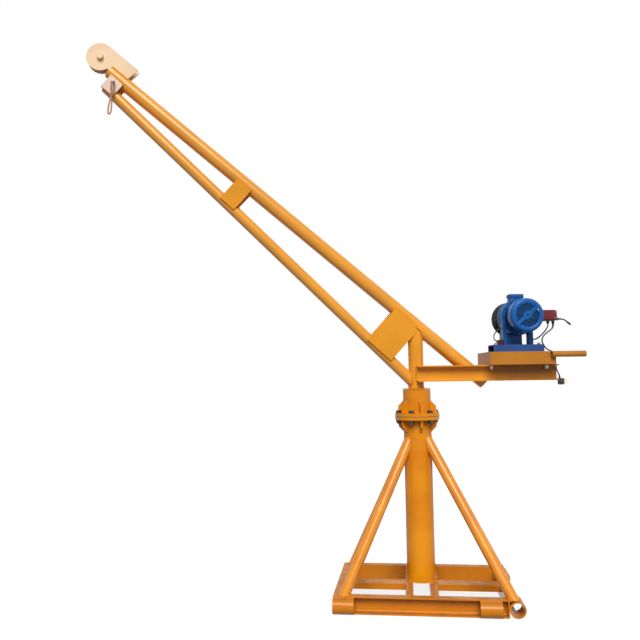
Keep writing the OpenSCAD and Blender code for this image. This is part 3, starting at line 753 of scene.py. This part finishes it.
class CRANE_OT_stage(bpy.types.Operator):
    """Sets the camera, the pale floor and the soft studio light"""

    bl_idname = "crane.stage"
    bl_label = "Stage"

    def camera(self, context, s):
        deselect()
        bpy.ops.object.camera_add()
        camera = context.object
        camera.name = "camera"
        camera.matrix_world = (
            Matrix.Translation(s.eye) @ Matrix.Rotation(-s.heading, 4, "Z")
            @ Matrix.Rotation(radians(90) + s.pitch, 4, "X") @ Matrix.Rotation(s.roll, 4, "Z")
        )
        camera.data.lens = s.lens
        camera.data.sensor_width = 36
        camera.data.clip_end = 100
        context.scene.camera = camera
        context.scene.view_settings.view_transform = "Standard"

    def lights(self, context, s):
        middle = Vector((-0.3, 0, 1.4))
        for name, place, size, power in (
            ("fill_lamp", (4.2, -4.4, 2.2), 2.6, s.fill_power),
            ("back_lamp", (0.8, 5.0, 1.8), 3.0, s.back_power),
        ):
            deselect()
            bpy.ops.object.light_add(type="AREA", location=place)
            lamp = context.object
            lamp.name = name
            lamp.data.shape = "DISK"
            lamp.data.size = size
            lamp.data.energy = power
            point_light(lamp, middle - Vector(place))
        # No glare from the back lamp on faces that lie level
        lamp.visible_glossy = False
        deselect()
        bpy.ops.object.light_add(type="SUN", location=(-0.6, -4.5, 5.2))
        key = context.object
        key.name = "key_light"
        key.data.energy = s.key_strength
        key.data.angle = s.key_angle
        point_light(key, (0.1, 1.0, -0.92))

    def backdrop(self, context, s):
        world = bpy.data.worlds.new("studio")
        context.scene.world = world
        world.use_nodes = True
        net = Net(world.node_tree)
        sky = world.node_tree.nodes["Background"].inputs
        net.put((1, 1, 1, 1), sky["Color"])
        net.put(net.maths("MAXIMUM", net.seen(), s.ambient), sky["Strength"])

        deselect()
        bpy.ops.mesh.primitive_plane_add(size=40, location=(0, 0, -0.0005))
        floor = context.object
        floor.name = "studio_floor"
        freeze()
        mat, net, surface = new_material("studio floor")
        speck = net.grey(net.spread(net.noise(net.place(), 3.0), 0.3, 0.7, 0.985, 1.0))
        net.put(net.mix(1.0, rgba(s.floor), speck, "MULTIPLY"), surface.inputs["Base Color"])
        net.put(0.85, surface.inputs["Roughness"])
        net.put((1, 1, 1, 1), surface.inputs["Emission Color"])
        glow = 0.82
        net.put(net.times(net.seen(), glow), surface.inputs["Emission Strength"])
        floor.data.materials.append(mat)

    def execute(self, context):
        settings = context.scene.crane_stage
        self.camera(context, settings)
        self.lights(context, settings)
        self.backdrop(context, settings)
        return {"FINISHED"}


# ---------------------------------------------------------------- cords


def cord_curve(name, route, diameter):
    """A smooth open curve through the route's points."""
    obj = new_curve(name, diameter / 2, 3)
    obj.data.resolution_u = 6
    line = obj.data.splines.new("BEZIER")
    line.bezier_points.add(len(route) - 1)
    for i, point in enumerate(line.bezier_points):
        before, after = Vector(route[max(i - 1, 0)]), Vector(route[min(i + 1, len(route) - 1)])
        here = Vector(route[i])
        along = (after - before).normalized()
        point.handle_left_type = point.handle_right_type = "FREE"
        point.co = here
        point.handle_left = here - along * (here - before).length / 3
        point.handle_right = here + along * (after - here).length / 3
    obj.data.materials.append(bpy.data.materials["black rubber"])
    return obj


def curve_length(obj):
    """Length of a cord's own line."""
    total = 0.0
    points = obj.data.splines[0].bezier_points
    for a, b in zip(points, points[1:]):
        line = interpolate_bezier(a.co, a.handle_right, b.handle_left, b.co, 25)
        total += sum((q - p).length for p, q in zip(line, line[1:]))
    return total


class CRANE_OT_cords(bpy.types.Operator):
    """Makes the power cord with its plug and the control lead with its connector"""

    bl_idname = "crane.cords"
    bl_label = "Cords"

    def plug(self):
        top = Vector(POWER_ROUTE[-1])

        def part(low, high, bevel, segments=2):
            return block(top + Vector(low), top + Vector(high), bevel, segments)

        body = part((-0.009, -0.0115, -0.0355), (0.022, 0.0115, -0.002), 0.006, 4)
        boot = turned([
            (-3, 0), (-3, 6.2), (0, 6.2), (2, 4.6), (4, 5.6), (6, 4.4), (8, 5), (10, 4.2), (14, 3.9), (14, 0),
        ], top + Vector((0, 0, -0.001)), (0, 0, 1))
        ribs = [
            part((-0.004 + x, -0.0122, -0.031), (-0.002 + x, 0.0122, -0.008), 0.0007)
            for x in (0.0, 0.005, 0.01, 0.015)
        ]
        blades = [
            part((0.0205, -0.0008, z - 0.00325), (0.0398, 0.0008, z + 0.00325), 0.0004)
            for z in (-0.011, -0.025)
        ]
        return join([body, boot] + ribs), join(blades)

    def execute(self, context):
        s = context.scene.crane_cords
        power = cord_curve("power_cord_line", POWER_ROUTE, s.power_diameter)
        piece, blades = self.plug()
        done(piece, "plug_body", "black rubber")
        done(blades, "plug_blades", "brass blades")
        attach(power, "jib")
        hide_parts("power_cord")
        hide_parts("plug")
        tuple(POWER_ROUTE[0])
        curve_length(power)

        boots = []
        for route, width in ((POWER_ROUTE, 0.0066), (CONTROL_ROUTE, 0.006)):
            line = even_steps(route, 0.0022)[:13]
            groove = 0.86
            taper = [(p, (1.0 - 0.035 * i) * (1.0 if i % 2 else groove)) for i, p in enumerate(line)]
            boots.append(rods([(taper, False)], width, 3))
        done(join(boots), "strain_reliefs", "black rubber", 50)

        lead = cord_curve("control_lead_line", CONTROL_ROUTE, s.control_diameter)
        last, end = (Vector(point) for point in CONTROL_ROUTE[-2:])
        shell = turned([
            (0, 0), (0, 4.8), (3, 5.2), (5, 4.4), (7, 5.4), (19, 5.4), (23.5, 4.6), (23.5, 3.4), (18, 3),
            (18, 0),
        ], end, (end - last).normalized())
        done(shell, "lead_connector_shell", "black rubber")
        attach(lead, "jib")
        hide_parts("control_lead")
        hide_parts("lead_connector")
        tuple(CONTROL_ROUTE[0])
        curve_length(lead)
        return {"FINISHED"}


# ---------------------------------------------------------------- seams


def tube_ring(start, axis, radius):
    """Places round a tube."""
    side = axis.cross(Vector((0, 0, 1))).normalized()
    other = side.cross(axis)
    turns = [tau * i / 72 for i in range(72)]
    return [start + radius * (cos(a) * side + sin(a) * other) for a in turns]


def against_post(start, axis, radius, post):
    """Where a tube that comes from start along axis meets an upright round post on the Z axis."""
    line = []
    for q in tube_ring(start, axis, radius):
        a = axis.x ** 2 + axis.y ** 2
        b = q.x * axis.x + q.y * axis.y
        c = q.x ** 2 + q.y ** 2 - post ** 2
        line.append(q + axis * ((-b - sqrt(max(b * b - a * c, 0))) / a))
    return line


class CRANE_OT_base_seams(bpy.types.Operator):
    """Lays the weld beads of the base, the column, the braces, the ribs and the sleeves"""

    bl_idname = "crane.base_seams"
    bl_label = "Base seams"

    def lay(self, points, closed=False, size=1.0):
        self.lines.append(seam([on_base(p) for p in points], closed, size))

    def braces(self):
        """Round the foot of each brace, kept on the beam's flange, and round its top on the column."""
        inner, outer = 0.2635, 0.3035
        for x in (-0.36, 0.4045):
            for y in (0.2835, -0.2835):
                foot = Vector((x, y, BEAM_TOP))
                axis = (Vector((0, 0, FLANGE_UNDER - 0.01)) - foot).normalized()
                self.lay(against_post(foot, axis, BRACE_R + 0.0007, COLUMN_R + 0.0006), True)
                rim = []
                for q in tube_ring(foot, axis, BRACE_R + 0.0007):
                    q += axis * ((BEAM_TOP + 0.0007 - q.z) / axis.z)
                    rim.append((q.x, copysign(min(max(abs(q.y), inner), outer), y), q.z))
                self.lay(rim, True)

    def ribs(self):
        """Both sides of the six ribs under the flanges and the six above them."""
        half_thick, reach = 0.0048, 0.031
        for k in range(6):
            angle = radians(-78 + 60 * k)
            out = Vector((cos(angle), sin(angle), 0))
            across = Vector((-out.y, out.x, 0)) * half_thick
            for side in (-1, 1):
                for level, far in ((FLANGE_UNDER, -0.062), (FLANGE_TOP, 0.061)):
                    height = level + copysign(0.0008, far)
                    corner = out * (COLUMN_R + 0.0005) + side * across + Vector((0, 0, height))
                    self.lay([corner + Vector((0, 0, far)), corner, corner + out * reach], size=0.8)

    def execute(self, context):
        self.lines = []
        for side in (0, pi):
            arc = [side + radians(a) for a in range(-53, 54, 4)]
            foot = COLUMN_R + 0.0015
            self.lay([(foot * cos(a), foot * sin(a), BEAM_TOP + 0.0005) for a in arc], size=1.15)
        self.braces()
        for level in (FLANGE_UNDER - 0.001, FLANGE_TOP + 0.001):
            self.lay(circle(COLUMN_R + 0.001, level), True)
        self.ribs()
        sleeve_z, member_z = 0.0745, 0.0678
        beam_face, right_face, rail_face = 0.3068, 0.4262, 0.046965
        for side in (-1, 1):
            for x0, x1 in ((-0.41, -0.316), (0.258, 0.352)):
                self.lay([(x, side * beam_face, sleeve_z) for x in (x0, x1)], size=0.85)
            self.lay([(right_face, side * y, sleeve_z) for y in (0.209, 0.303)], size=0.85)
            for x in (-rail_face, rail_face):
                self.lay([(x, side * y, member_z) for y in (0.038, 0.002)], size=0.8)
        beads = rods(self.lines, context.scene.crane_seams.bead)
        done(beads, "base_seams", "seam enamel", 60, "base")

        deselect()
        bpy.ops.mesh.primitive_torus_add(
            major_radius=0.1117, minor_radius=0.0013, major_segments=96, minor_segments=8,
            location=(0, 0, FLANGE_JOINT),
        )
        done(context.object, "flange_gasket", "black rubber", body="base")
        return {"FINISHED"}


class CRANE_OT_jib_seams(bpy.types.Operator):
    """Lays the weld beads of the mast, the boom tubes, their plates, the platform and the handle"""

    bl_idname = "crane.jib_seams"
    bl_label = "Jib seams"

    # Large gussets, small gussets and tip plates: place along X, length, and reach past both tube axes
    plates = ((-0.117, 0.158, 0.001, 0.001), (-0.909, 0.09, -0.008, 0.001), (-1.5301, 0.078, -0.012, 0.012))

    def plate_edges(self, x, length, above, below):
        """The long edges of a pair of plates that rest on the front and the back of both tubes."""
        upper = UPPER_JOINT - x * tan(UPPER_ANGLE)
        lower = LOWER_JOINT - x * tan(LOWER_ANGLE)
        mean = (UPPER_ANGLE + LOWER_ANGLE) / 2
        apart = (upper - lower) * cos(mean)
        tilt = asin((UPPER_R - LOWER_R) / apart)
        face = (UPPER_R + LOWER_R) / 2 / cos(tilt)
        place = (
            Matrix.Translation((x, 0, (upper + lower) / 2)) @ Matrix.Rotation(mean, 4, "Y")
            @ Matrix.Translation((0, -face, 0)) @ Matrix.Rotation(tilt, 4, "X")
        )
        clear = 0.0012
        for height in (apart / 2 + above + clear, -apart / 2 - below - clear):
            edge = [place @ Vector((along, -clear, height)) for along in (-length / 2, length / 2)]
            yield edge
            yield [Vector((p.x, -p.y, p.z)) for p in edge]

    def execute(self, context):
        r = MAST_R + 0.001
        handle_front, handle_z, handle_half = -0.1103, 1.192, 0.0088
        lines = [seam(circle(r, CAP_TOP + 0.0008), True)]
        crown = []
        for x, y, _ in circle(r, 0):
            drop = sqrt(max(UPPER_R ** 2 - y * y, (UPPER_R * 0.35) ** 2)) / cos(UPPER_ANGLE)
            crown.append((x, y, UPPER_JOINT - x * tan(UPPER_ANGLE) - drop - 0.0006))
        lines.append(seam(crown, True))
        slope = Vector((cos(LOWER_ANGLE), 0, -sin(LOWER_ANGLE)))
        start = Vector((0, 0, LOWER_JOINT)) - slope * 0.5
        lines.append(seam(against_post(start, slope, LOWER_R + 0.0008, MAST_R + 0.0006), True))
        for plate in self.plates:
            for edge in self.plate_edges(*plate):
                # The large gussets' upper beads stop short of the mast
                if plate is self.plates[0] and edge[0].z > UPPER_JOINT - 0.05:
                    edge[1] = edge[0].lerp(edge[1], 0.86)
                lines.append(seam(edge, size=0.8))
        for side in (-1, 1):
            head = [upper_axis(reach, 0.0262, side * 0.0247) for reach in (1.94, 2.039)]
            lines.append(seam(head, size=0.75))
            web = [(-0.0065, side * 0.0385, z) for z in (PLATFORM_FOOT + 0.003, PLATFORM_TOP - 0.003)]
            lines.append(seam(web))
            wrap = [(x, handle_front, handle_z + side * handle_half) for x in (0.667, 0.691)]
            lines.append(seam(wrap, size=0.7))
        beads = rods(lines, context.scene.crane_seams.bead)
        done(beads, "jib_seams", "seam enamel", 60)
        return {"FINISHED"}


# ---------------------------------------------------------------- winch


class CRANE_OT_motor(bpy.types.Operator):
    """Makes the finned motor with its gear case, rims, ribs and bolts"""

    bl_idname = "crane.motor"
    bl_label = "Motor"

    def execute(self, context):
        core = lathe([
            (-98, 0), (-98, 76), (-95.5, 78), (-90, 78), (-88, 66.5), (-29, 66.5), (-27, 78), (-22, 78),
            (-22, 0),
        ], WINCH_AXIS, 72)
        fin = soften(block((-0.0012, -0.0885, 0.064), (0.0012, -0.0285, 0.0772)), 0.0006, 1)
        fins = ring_of(fin, context.scene.crane_winch.fins)
        case = lathe([
            (-23, 0), (-23, 91.5), (-21.5, 93), (-12.5, 93), (-11, 91.5), (-9.5, 89.5), (-3, 88.5),
            (26, 88.5), (29, 89.5), (30.5, 91.5), (32, 93), (40.5, 93), (42, 91.5), (42, 0),
        ], WINCH_AXIS, 96)
        rib = soften(block((-0.0026, -0.0115, 0.085), (0.0026, 0.0315, 0.0918)), 0.0008, 1)
        body = join([core, case] + fins + ring_of(rib, 12, radians(15)))
        done(body, "winch_motor", "blue enamel", 40)
        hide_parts("motor_body")
        bolt_circle = 0.0857
        fasten(prism(6, 0.0052, 0.0042, 0.0006), [
            (Vector(WINCH_AXIS) + spin_y(12, i, radians(3)) @ Vector((0, y, bolt_circle)), (0, way, 0))
            for i in range(12) for y, way in ((-0.023, -1), (0.042, 1))
        ], "case_bolts")
        return {"FINISHED"}


class CRANE_OT_fan_cover(bpy.types.Operator):
    """Makes the pressed fan cover with its slots, and the fan behind it"""

    bl_idname = "crane.fan_cover"
    bl_label = "Fan cover"

    def slots(self, w):
        """Cutters for the rows of slots: two a row, apart at the solid arm and round the hub."""
        lean = Matrix.Rotation(radians(50), 4, "Y")
        front, back = -0.158, -0.14
        half, hub_edge, arm_edge = w.slot_width / 2, 0.017, 0.008
        rows = int(w.slot_reach / w.slot_pitch)
        for row in range(-rows, rows + 1):
            across = row * w.slot_pitch
            near = hub_edge if abs(across) < 0.012 else arm_edge
            far = sqrt(w.slot_reach ** 2 - across ** 2)
            if far - near < w.slot_width:
                continue
            for x0, x1 in ((-far, -near), (near, far)):
                slot = block((x0, front, across - half), (x1, back, across + half))
                round_edges(slot, 1, half * 0.9, 3)
                slot.data.transform(Matrix.Translation(WINCH_AXIS) @ lean)
                yield slot

    def execute(self, context):
        shell = lathe([
            (-148, 0), (-148, 64), (-148.8, 65.8), (-150, 68), (-149.8, 71.5), (-148.5, 75.7), (-146, 79.8),
            (-142.5, 83.2), (-138, 85.3), (-133, 86), (-103, 86), (-102.2, 85.2), (-100.6, 85.2),
            (-99.8, 86), (-95, 86), (-95, 84.2), (-133, 84.2), (-137.5, 83.5), (-141.5, 81.7),
            (-144.7, 78.5), (-146.5, 75), (-147, 69), (-146.2, 64), (-146.2, 0),
        ], WINCH_AXIS, 96)
        slots = list(self.slots(context.scene.crane_winch))
        hub = prism(24, 0.0042, 0.018)
        hub.data.transform(aim(Vector(WINCH_AXIS) + Vector((0, -0.158, 0)), (0, 1, 0)))
        cutter = join(slots + [hub])
        cover = modify(shell, "BOOLEAN", operation="DIFFERENCE", solver="EXACT", object=cutter)
        bpy.data.objects.remove(cutter, do_unlink=True)
        done(cover, "fan_cover_pressed", "blue enamel")
        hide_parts("fan_cover")
        outs = [spin_y(4, i, radians(35)) @ Vector((0, 0, 1)) for i in range(4)]
        fasten(prism(6, 0.0045, 0.0036, 0.0006), [
            (Vector(WINCH_AXIS) + out * 0.0822 + Vector((0, -0.101, 0)), out) for out in outs
        ], "cover_screws")

        disc = lathe([
            (-128, 0), (-141, 10), (-141, 14), (-126, 22), (-122, 70), (-119, 70), (-119, 0),
        ], WINCH_AXIS, 48)
        blade = soften(block((-0.0012, -0.138, 0.018), (0.0012, -0.12, 0.07)), 0.0006, 1)
        done(join([disc] + ring_of(blade, 9)), "cooling_fan", "dark hollow", 30)
        return {"FINISHED"}


class CRANE_OT_terminal_box(bpy.types.Operator):
    """Makes the cast terminal box with its ribbed lid"""

    bl_idname = "crane.terminal_box"
    bl_label = "Terminal box"

    def execute(self, context):
        (x0, y0, _), (x1, y1, top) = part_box("terminal_box")

        def upright(shrink_x, shrink_y, z0, z1, corner):
            """A block as large as the box less a margin on each side, with its upright edges rounded."""
            low, high = (x0 + shrink_x, y0 + shrink_y, z0), (x1 - shrink_x, y1 - shrink_y, z1)
            return round_edges(block(low, high), 2, corner)

        foot = upright(0.006, 0.005, WINCH_Z + 0.07, top - 0.02, 0.008)
        neck = upright(0.002, 0.002, top - 0.046, top - 0.022, 0.01)
        lid = upright(0, 0, top - 0.02, top, 0.012)
        panel(lid, lambda face: face.normal.z > 0.9, (0.009, 0.0), (0.0015, -0.002))
        parts = [soften(foot, 0.0015), soften(neck, 0.002), soften(lid, 0.0025, 3)]
        for i in range(7):
            x = x0 + 0.014 + i * (x1 - x0 - 0.028) / 6
            rib = block((x - 0.0016, y0 + 0.003, top - 0.044), (x + 0.0016, y1 - 0.003, top - 0.021))
            parts.append(soften(rib, 0.0007, 1))
        box = join(parts)
        done(box, "terminal_box_cast", "blue enamel", 40)
        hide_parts("terminal_box")
        inset, side_z = 0.0075, top - 0.0105
        above = [
            ((x, y, top - 0.0036), (0, 0, 1))
            for x in (x0 + inset, x1 - inset) for y in (y0 + inset, y1 - inset)
        ]
        front = [((x, y0 + 0.0004, side_z), (0, -1, 0)) for x in (x0 + 0.012, (x0 + x1) / 2, x1 - 0.012)]
        left = [((x0 + 0.0004, y, side_z), (-1, 0, 0)) for y in (y0 + 0.014, y1 - 0.014)]
        fasten(prism(6, 0.0045, 0.0035, 0.0006), above + front + left, "lid_screws")
        return {"FINISHED"}


class CRANE_OT_gearbox(bpy.types.Operator):
    """Makes the ribbed gearbox behind the drum"""

    bl_idname = "crane.gearbox"
    bl_label = "Gearbox"

    def execute(self, context):
        shell = lathe([
            (154, 0), (154, 56), (155.5, 57.5), (160, 57.5), (162, 62.5), (163.5, 64), (172, 64),
            (173.5, 62.5), (175, 59.5), (207, 58), (212.5, 55.5), (214, 52), (214, 41), (215.5, 39.5),
            (224.5, 38.5), (226, 37), (226, 17), (223.5, 15.5), (223.5, 0),
        ], WINCH_AXIS, 72)
        rib = soften(block((-0.0024, 0.172, 0.054), (0.0024, 0.2075, 0.0622)), 0.0008, 1)
        body = join([shell] + ring_of(rib, 12, radians(15)))
        done(body, "gearbox_cast", "blue enamel", 40)
        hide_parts("gearbox")
        fasten(prism(6, 0.005, 0.0035, 0.0006), [
            (Vector(WINCH_AXIS) + spin_y(6, i) @ Vector((0, 0.214, 0.0468)), (0, 1, 0)) for i in range(6)
        ], "gearbox_bolts")
        return {"FINISHED"}


class CRANE_OT_rope(bpy.types.Operator):
    """Winds the hoist rope on the drum, turn beside turn"""

    bl_idname = "crane.rope"
    bl_label = "Rope"

    def execute(self, context):
        d = context.scene.crane_winch.rope
        low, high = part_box("drum_rope")
        radius = (high[0] - low[0]) / 2
        middle = radius - d / 2
        y0, y1 = low[1] + d / 2, high[1] - d / 2
        turns = int((y1 - y0) / (d * 1.03))
        count = turns * 40
        points = []
        for i in range(count + 1):
            a = tau * turns * i / count
            y = y0 + (y1 - y0) * i / count
            points.append((Vector((WINCH_X + middle * sin(a), y, WINCH_Z + middle * cos(a))), 1.0))
        outer = rods([(points, False)], d / 2)
        ends, core_r = (low[1] * 1000, high[1] * 1000), (radius - d * 0.7) * 1000
        core = lathe([(ends[0], 42.5), (ends[0], core_r), (ends[1], core_r), (ends[1], 42.5)], WINCH_AXIS, 48)
        coil = join([outer, core])
        done(coil, "rope_turns", "rope strands", 60, "drum")
        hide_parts("drum_rope")
        return {"FINISHED"}


class CRANE_OT_switch_box(bpy.types.Operator):
    """Makes the switch box with its maroon lid and screws, and the brake box with its lead"""

    bl_idname = "crane.switch_box"
    bl_label = "Switch box"

    def execute(self, context):
        def front(face):
            return face.normal.y < -0.9

        (x0, y0, z0), (x1, y1, z1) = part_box("switch_box")
        body = round_edges(block((x0, y0 + 0.006, z0), (x1, y1, z1)), 1, 0.012, 5)
        panel(body, front, (0.0045, 0.0), (0.0008, -0.003))
        done(soften(body, 0.0012), "switch_box_body", "black rubber")
        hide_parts("switch_box")
        rim = 0.0048
        lid = round_edges(block((x0 + rim, y0, z0 + rim), (x1 - rim, y0 + 0.012, z1 - rim)), 1, 0.008)
        done(soften(lid, 0.0018, 3), "switch_box_lid", "maroon lid")
        fasten(prism(16, 0.0026, 0.0016, 0.0004), [
            ((x1 - 0.0125, y0 + 0.0004, z), (0, -1, 0)) for z in (z0 + 0.0125, z1 - 0.0125)
        ], "switch_box_screws", "plated steel")

        small = round_edges(block((0.42, -0.05, 1.2425), (0.45, -0.012, 1.27)), 1, 0.004, 3)
        panel(small, front, (0.003, 0.0), (0.0006, 0.0015))
        # The brake box's darker maroon is painted shade
        done(soften(small, 0.001), "brake_box", "maroon in painted shade")
        lead = rods([([(p, 1.0) for p in even_steps(BRAKE_ROUTE, 0.004)], False)], 0.003, 2)
        done(lead, "brake_lead", "black rubber", 60)
        return {"FINISHED"}


class CRANE_OT_fixings(bpy.types.Operator):
    """Bolts the winch's base channels down"""

    bl_idname = "crane.fixings"
    bl_label = "Fixings"

    def execute(self, context):
        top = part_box("winch_base")[1][2]
        washer = prism(24, 0.011, 0.002, 0.0004)
        head = prism(6, 0.0085, 0.0075, 0.001)
        head.data.transform(Matrix.Translation((0, 0, 0.0019)))
        stud = prism(16, 0.0045, 0.0125, 0.0008)
        fasten(join([washer, head, stud]), [
            ((x, y, top - 0.0002), (0, 0, 1))
            for x, y in ((0.398, -0.07), (0.622, -0.07), (0.473, 0.084), (0.622, 0.084))
        ], "base_fixings", "plated steel")
        return {"FINISHED"}


class CRANE_OT_link(bpy.types.Operator):
    """Bends the hanging link: one bar closed into two long loops that cross at the waist"""

    bl_idname = "crane.link"
    bl_label = "Link"

    def execute(self, context):
        low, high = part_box("hanging_link")
        top, bottom = high[2] - 0.0035, low[2] + 0.0035
        x, y = (low[0] + high[0]) / 2, (low[1] + high[1]) / 2
        upper_half, lower_half, lean = 0.0098, 0.0082, 0.017
        points = []
        for a in AROUND:
            down = (1 - cos(a)) / 2
            swell = sin(2 * a)
            width = copysign(abs(swell) ** 0.55, swell) * (upper_half if down < 0.5 else lower_half)
            twist = radians(62 - 34 * down)
            # Where the loops cross, one side of the bar passes in front of the other
            waist = exp(-((down - 0.5) / 0.1) ** 2) * 0.0037 * (1 if a < pi else -1)
            points.append((Vector((
                x - lean * down ** 1.3 + width * cos(twist),
                y + waist + width * sin(twist) * 0.6,
                top + (bottom - top) * down,
            )), 1.0))
        ring = rods([(points, True)], 0.004, 3)
        done(ring, "hanging_link_bar", "rusted rod", 60, "link")
        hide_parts("hanging_link")
        return {"FINISHED"}


# ---------------------------------------------------------------- add-on


SETTINGS = {
    "crane_stage": CraneStageSettings, "crane_paint": CranePaintSettings, "crane_winch": CraneWinchSettings,
    "crane_seams": CraneSeamSettings, "crane_cords": CraneCordSettings,
}
STEPS = [
    CRANE_OT_finishes, CRANE_OT_stage, CRANE_OT_cords, CRANE_OT_base_seams, CRANE_OT_jib_seams,
    CRANE_OT_motor, CRANE_OT_fan_cover, CRANE_OT_terminal_box, CRANE_OT_gearbox, CRANE_OT_rope,
    CRANE_OT_switch_box, CRANE_OT_fixings, CRANE_OT_link,
]


class CRANE_PT_panel(bpy.types.Panel):
    bl_label = "Crane"
    bl_idname = "CRANE_PT_panel"
    bl_space_type = "VIEW_3D"
    bl_region_type = "UI"
    bl_category = "Crane"

    def draw(self, context):
        for name, settings in SETTINGS.items():
            box = self.layout.box()
            for key in settings.__annotations__:
                box.prop(getattr(context.scene, name), key)
        for step in STEPS:
            self.layout.operator(step.bl_idname)


CLASSES = [*SETTINGS.values(), *STEPS, CRANE_PT_panel]


def register():
    for cls in CLASSES:
        bpy.utils.register_class(cls)
    for name, settings in SETTINGS.items():
        setattr(bpy.types.Scene, name, PointerProperty(type=settings))


def unregister():
    for name in SETTINGS:
        delattr(bpy.types.Scene, name)
    for cls in reversed(CLASSES):
        bpy.utils.unregister_class(cls)


def main():
    register()
    for step in STEPS:
        group, name = step.bl_idname.split(".")
        getattr(getattr(bpy.ops, group), name)()


if __name__ == "__main__":
    main()
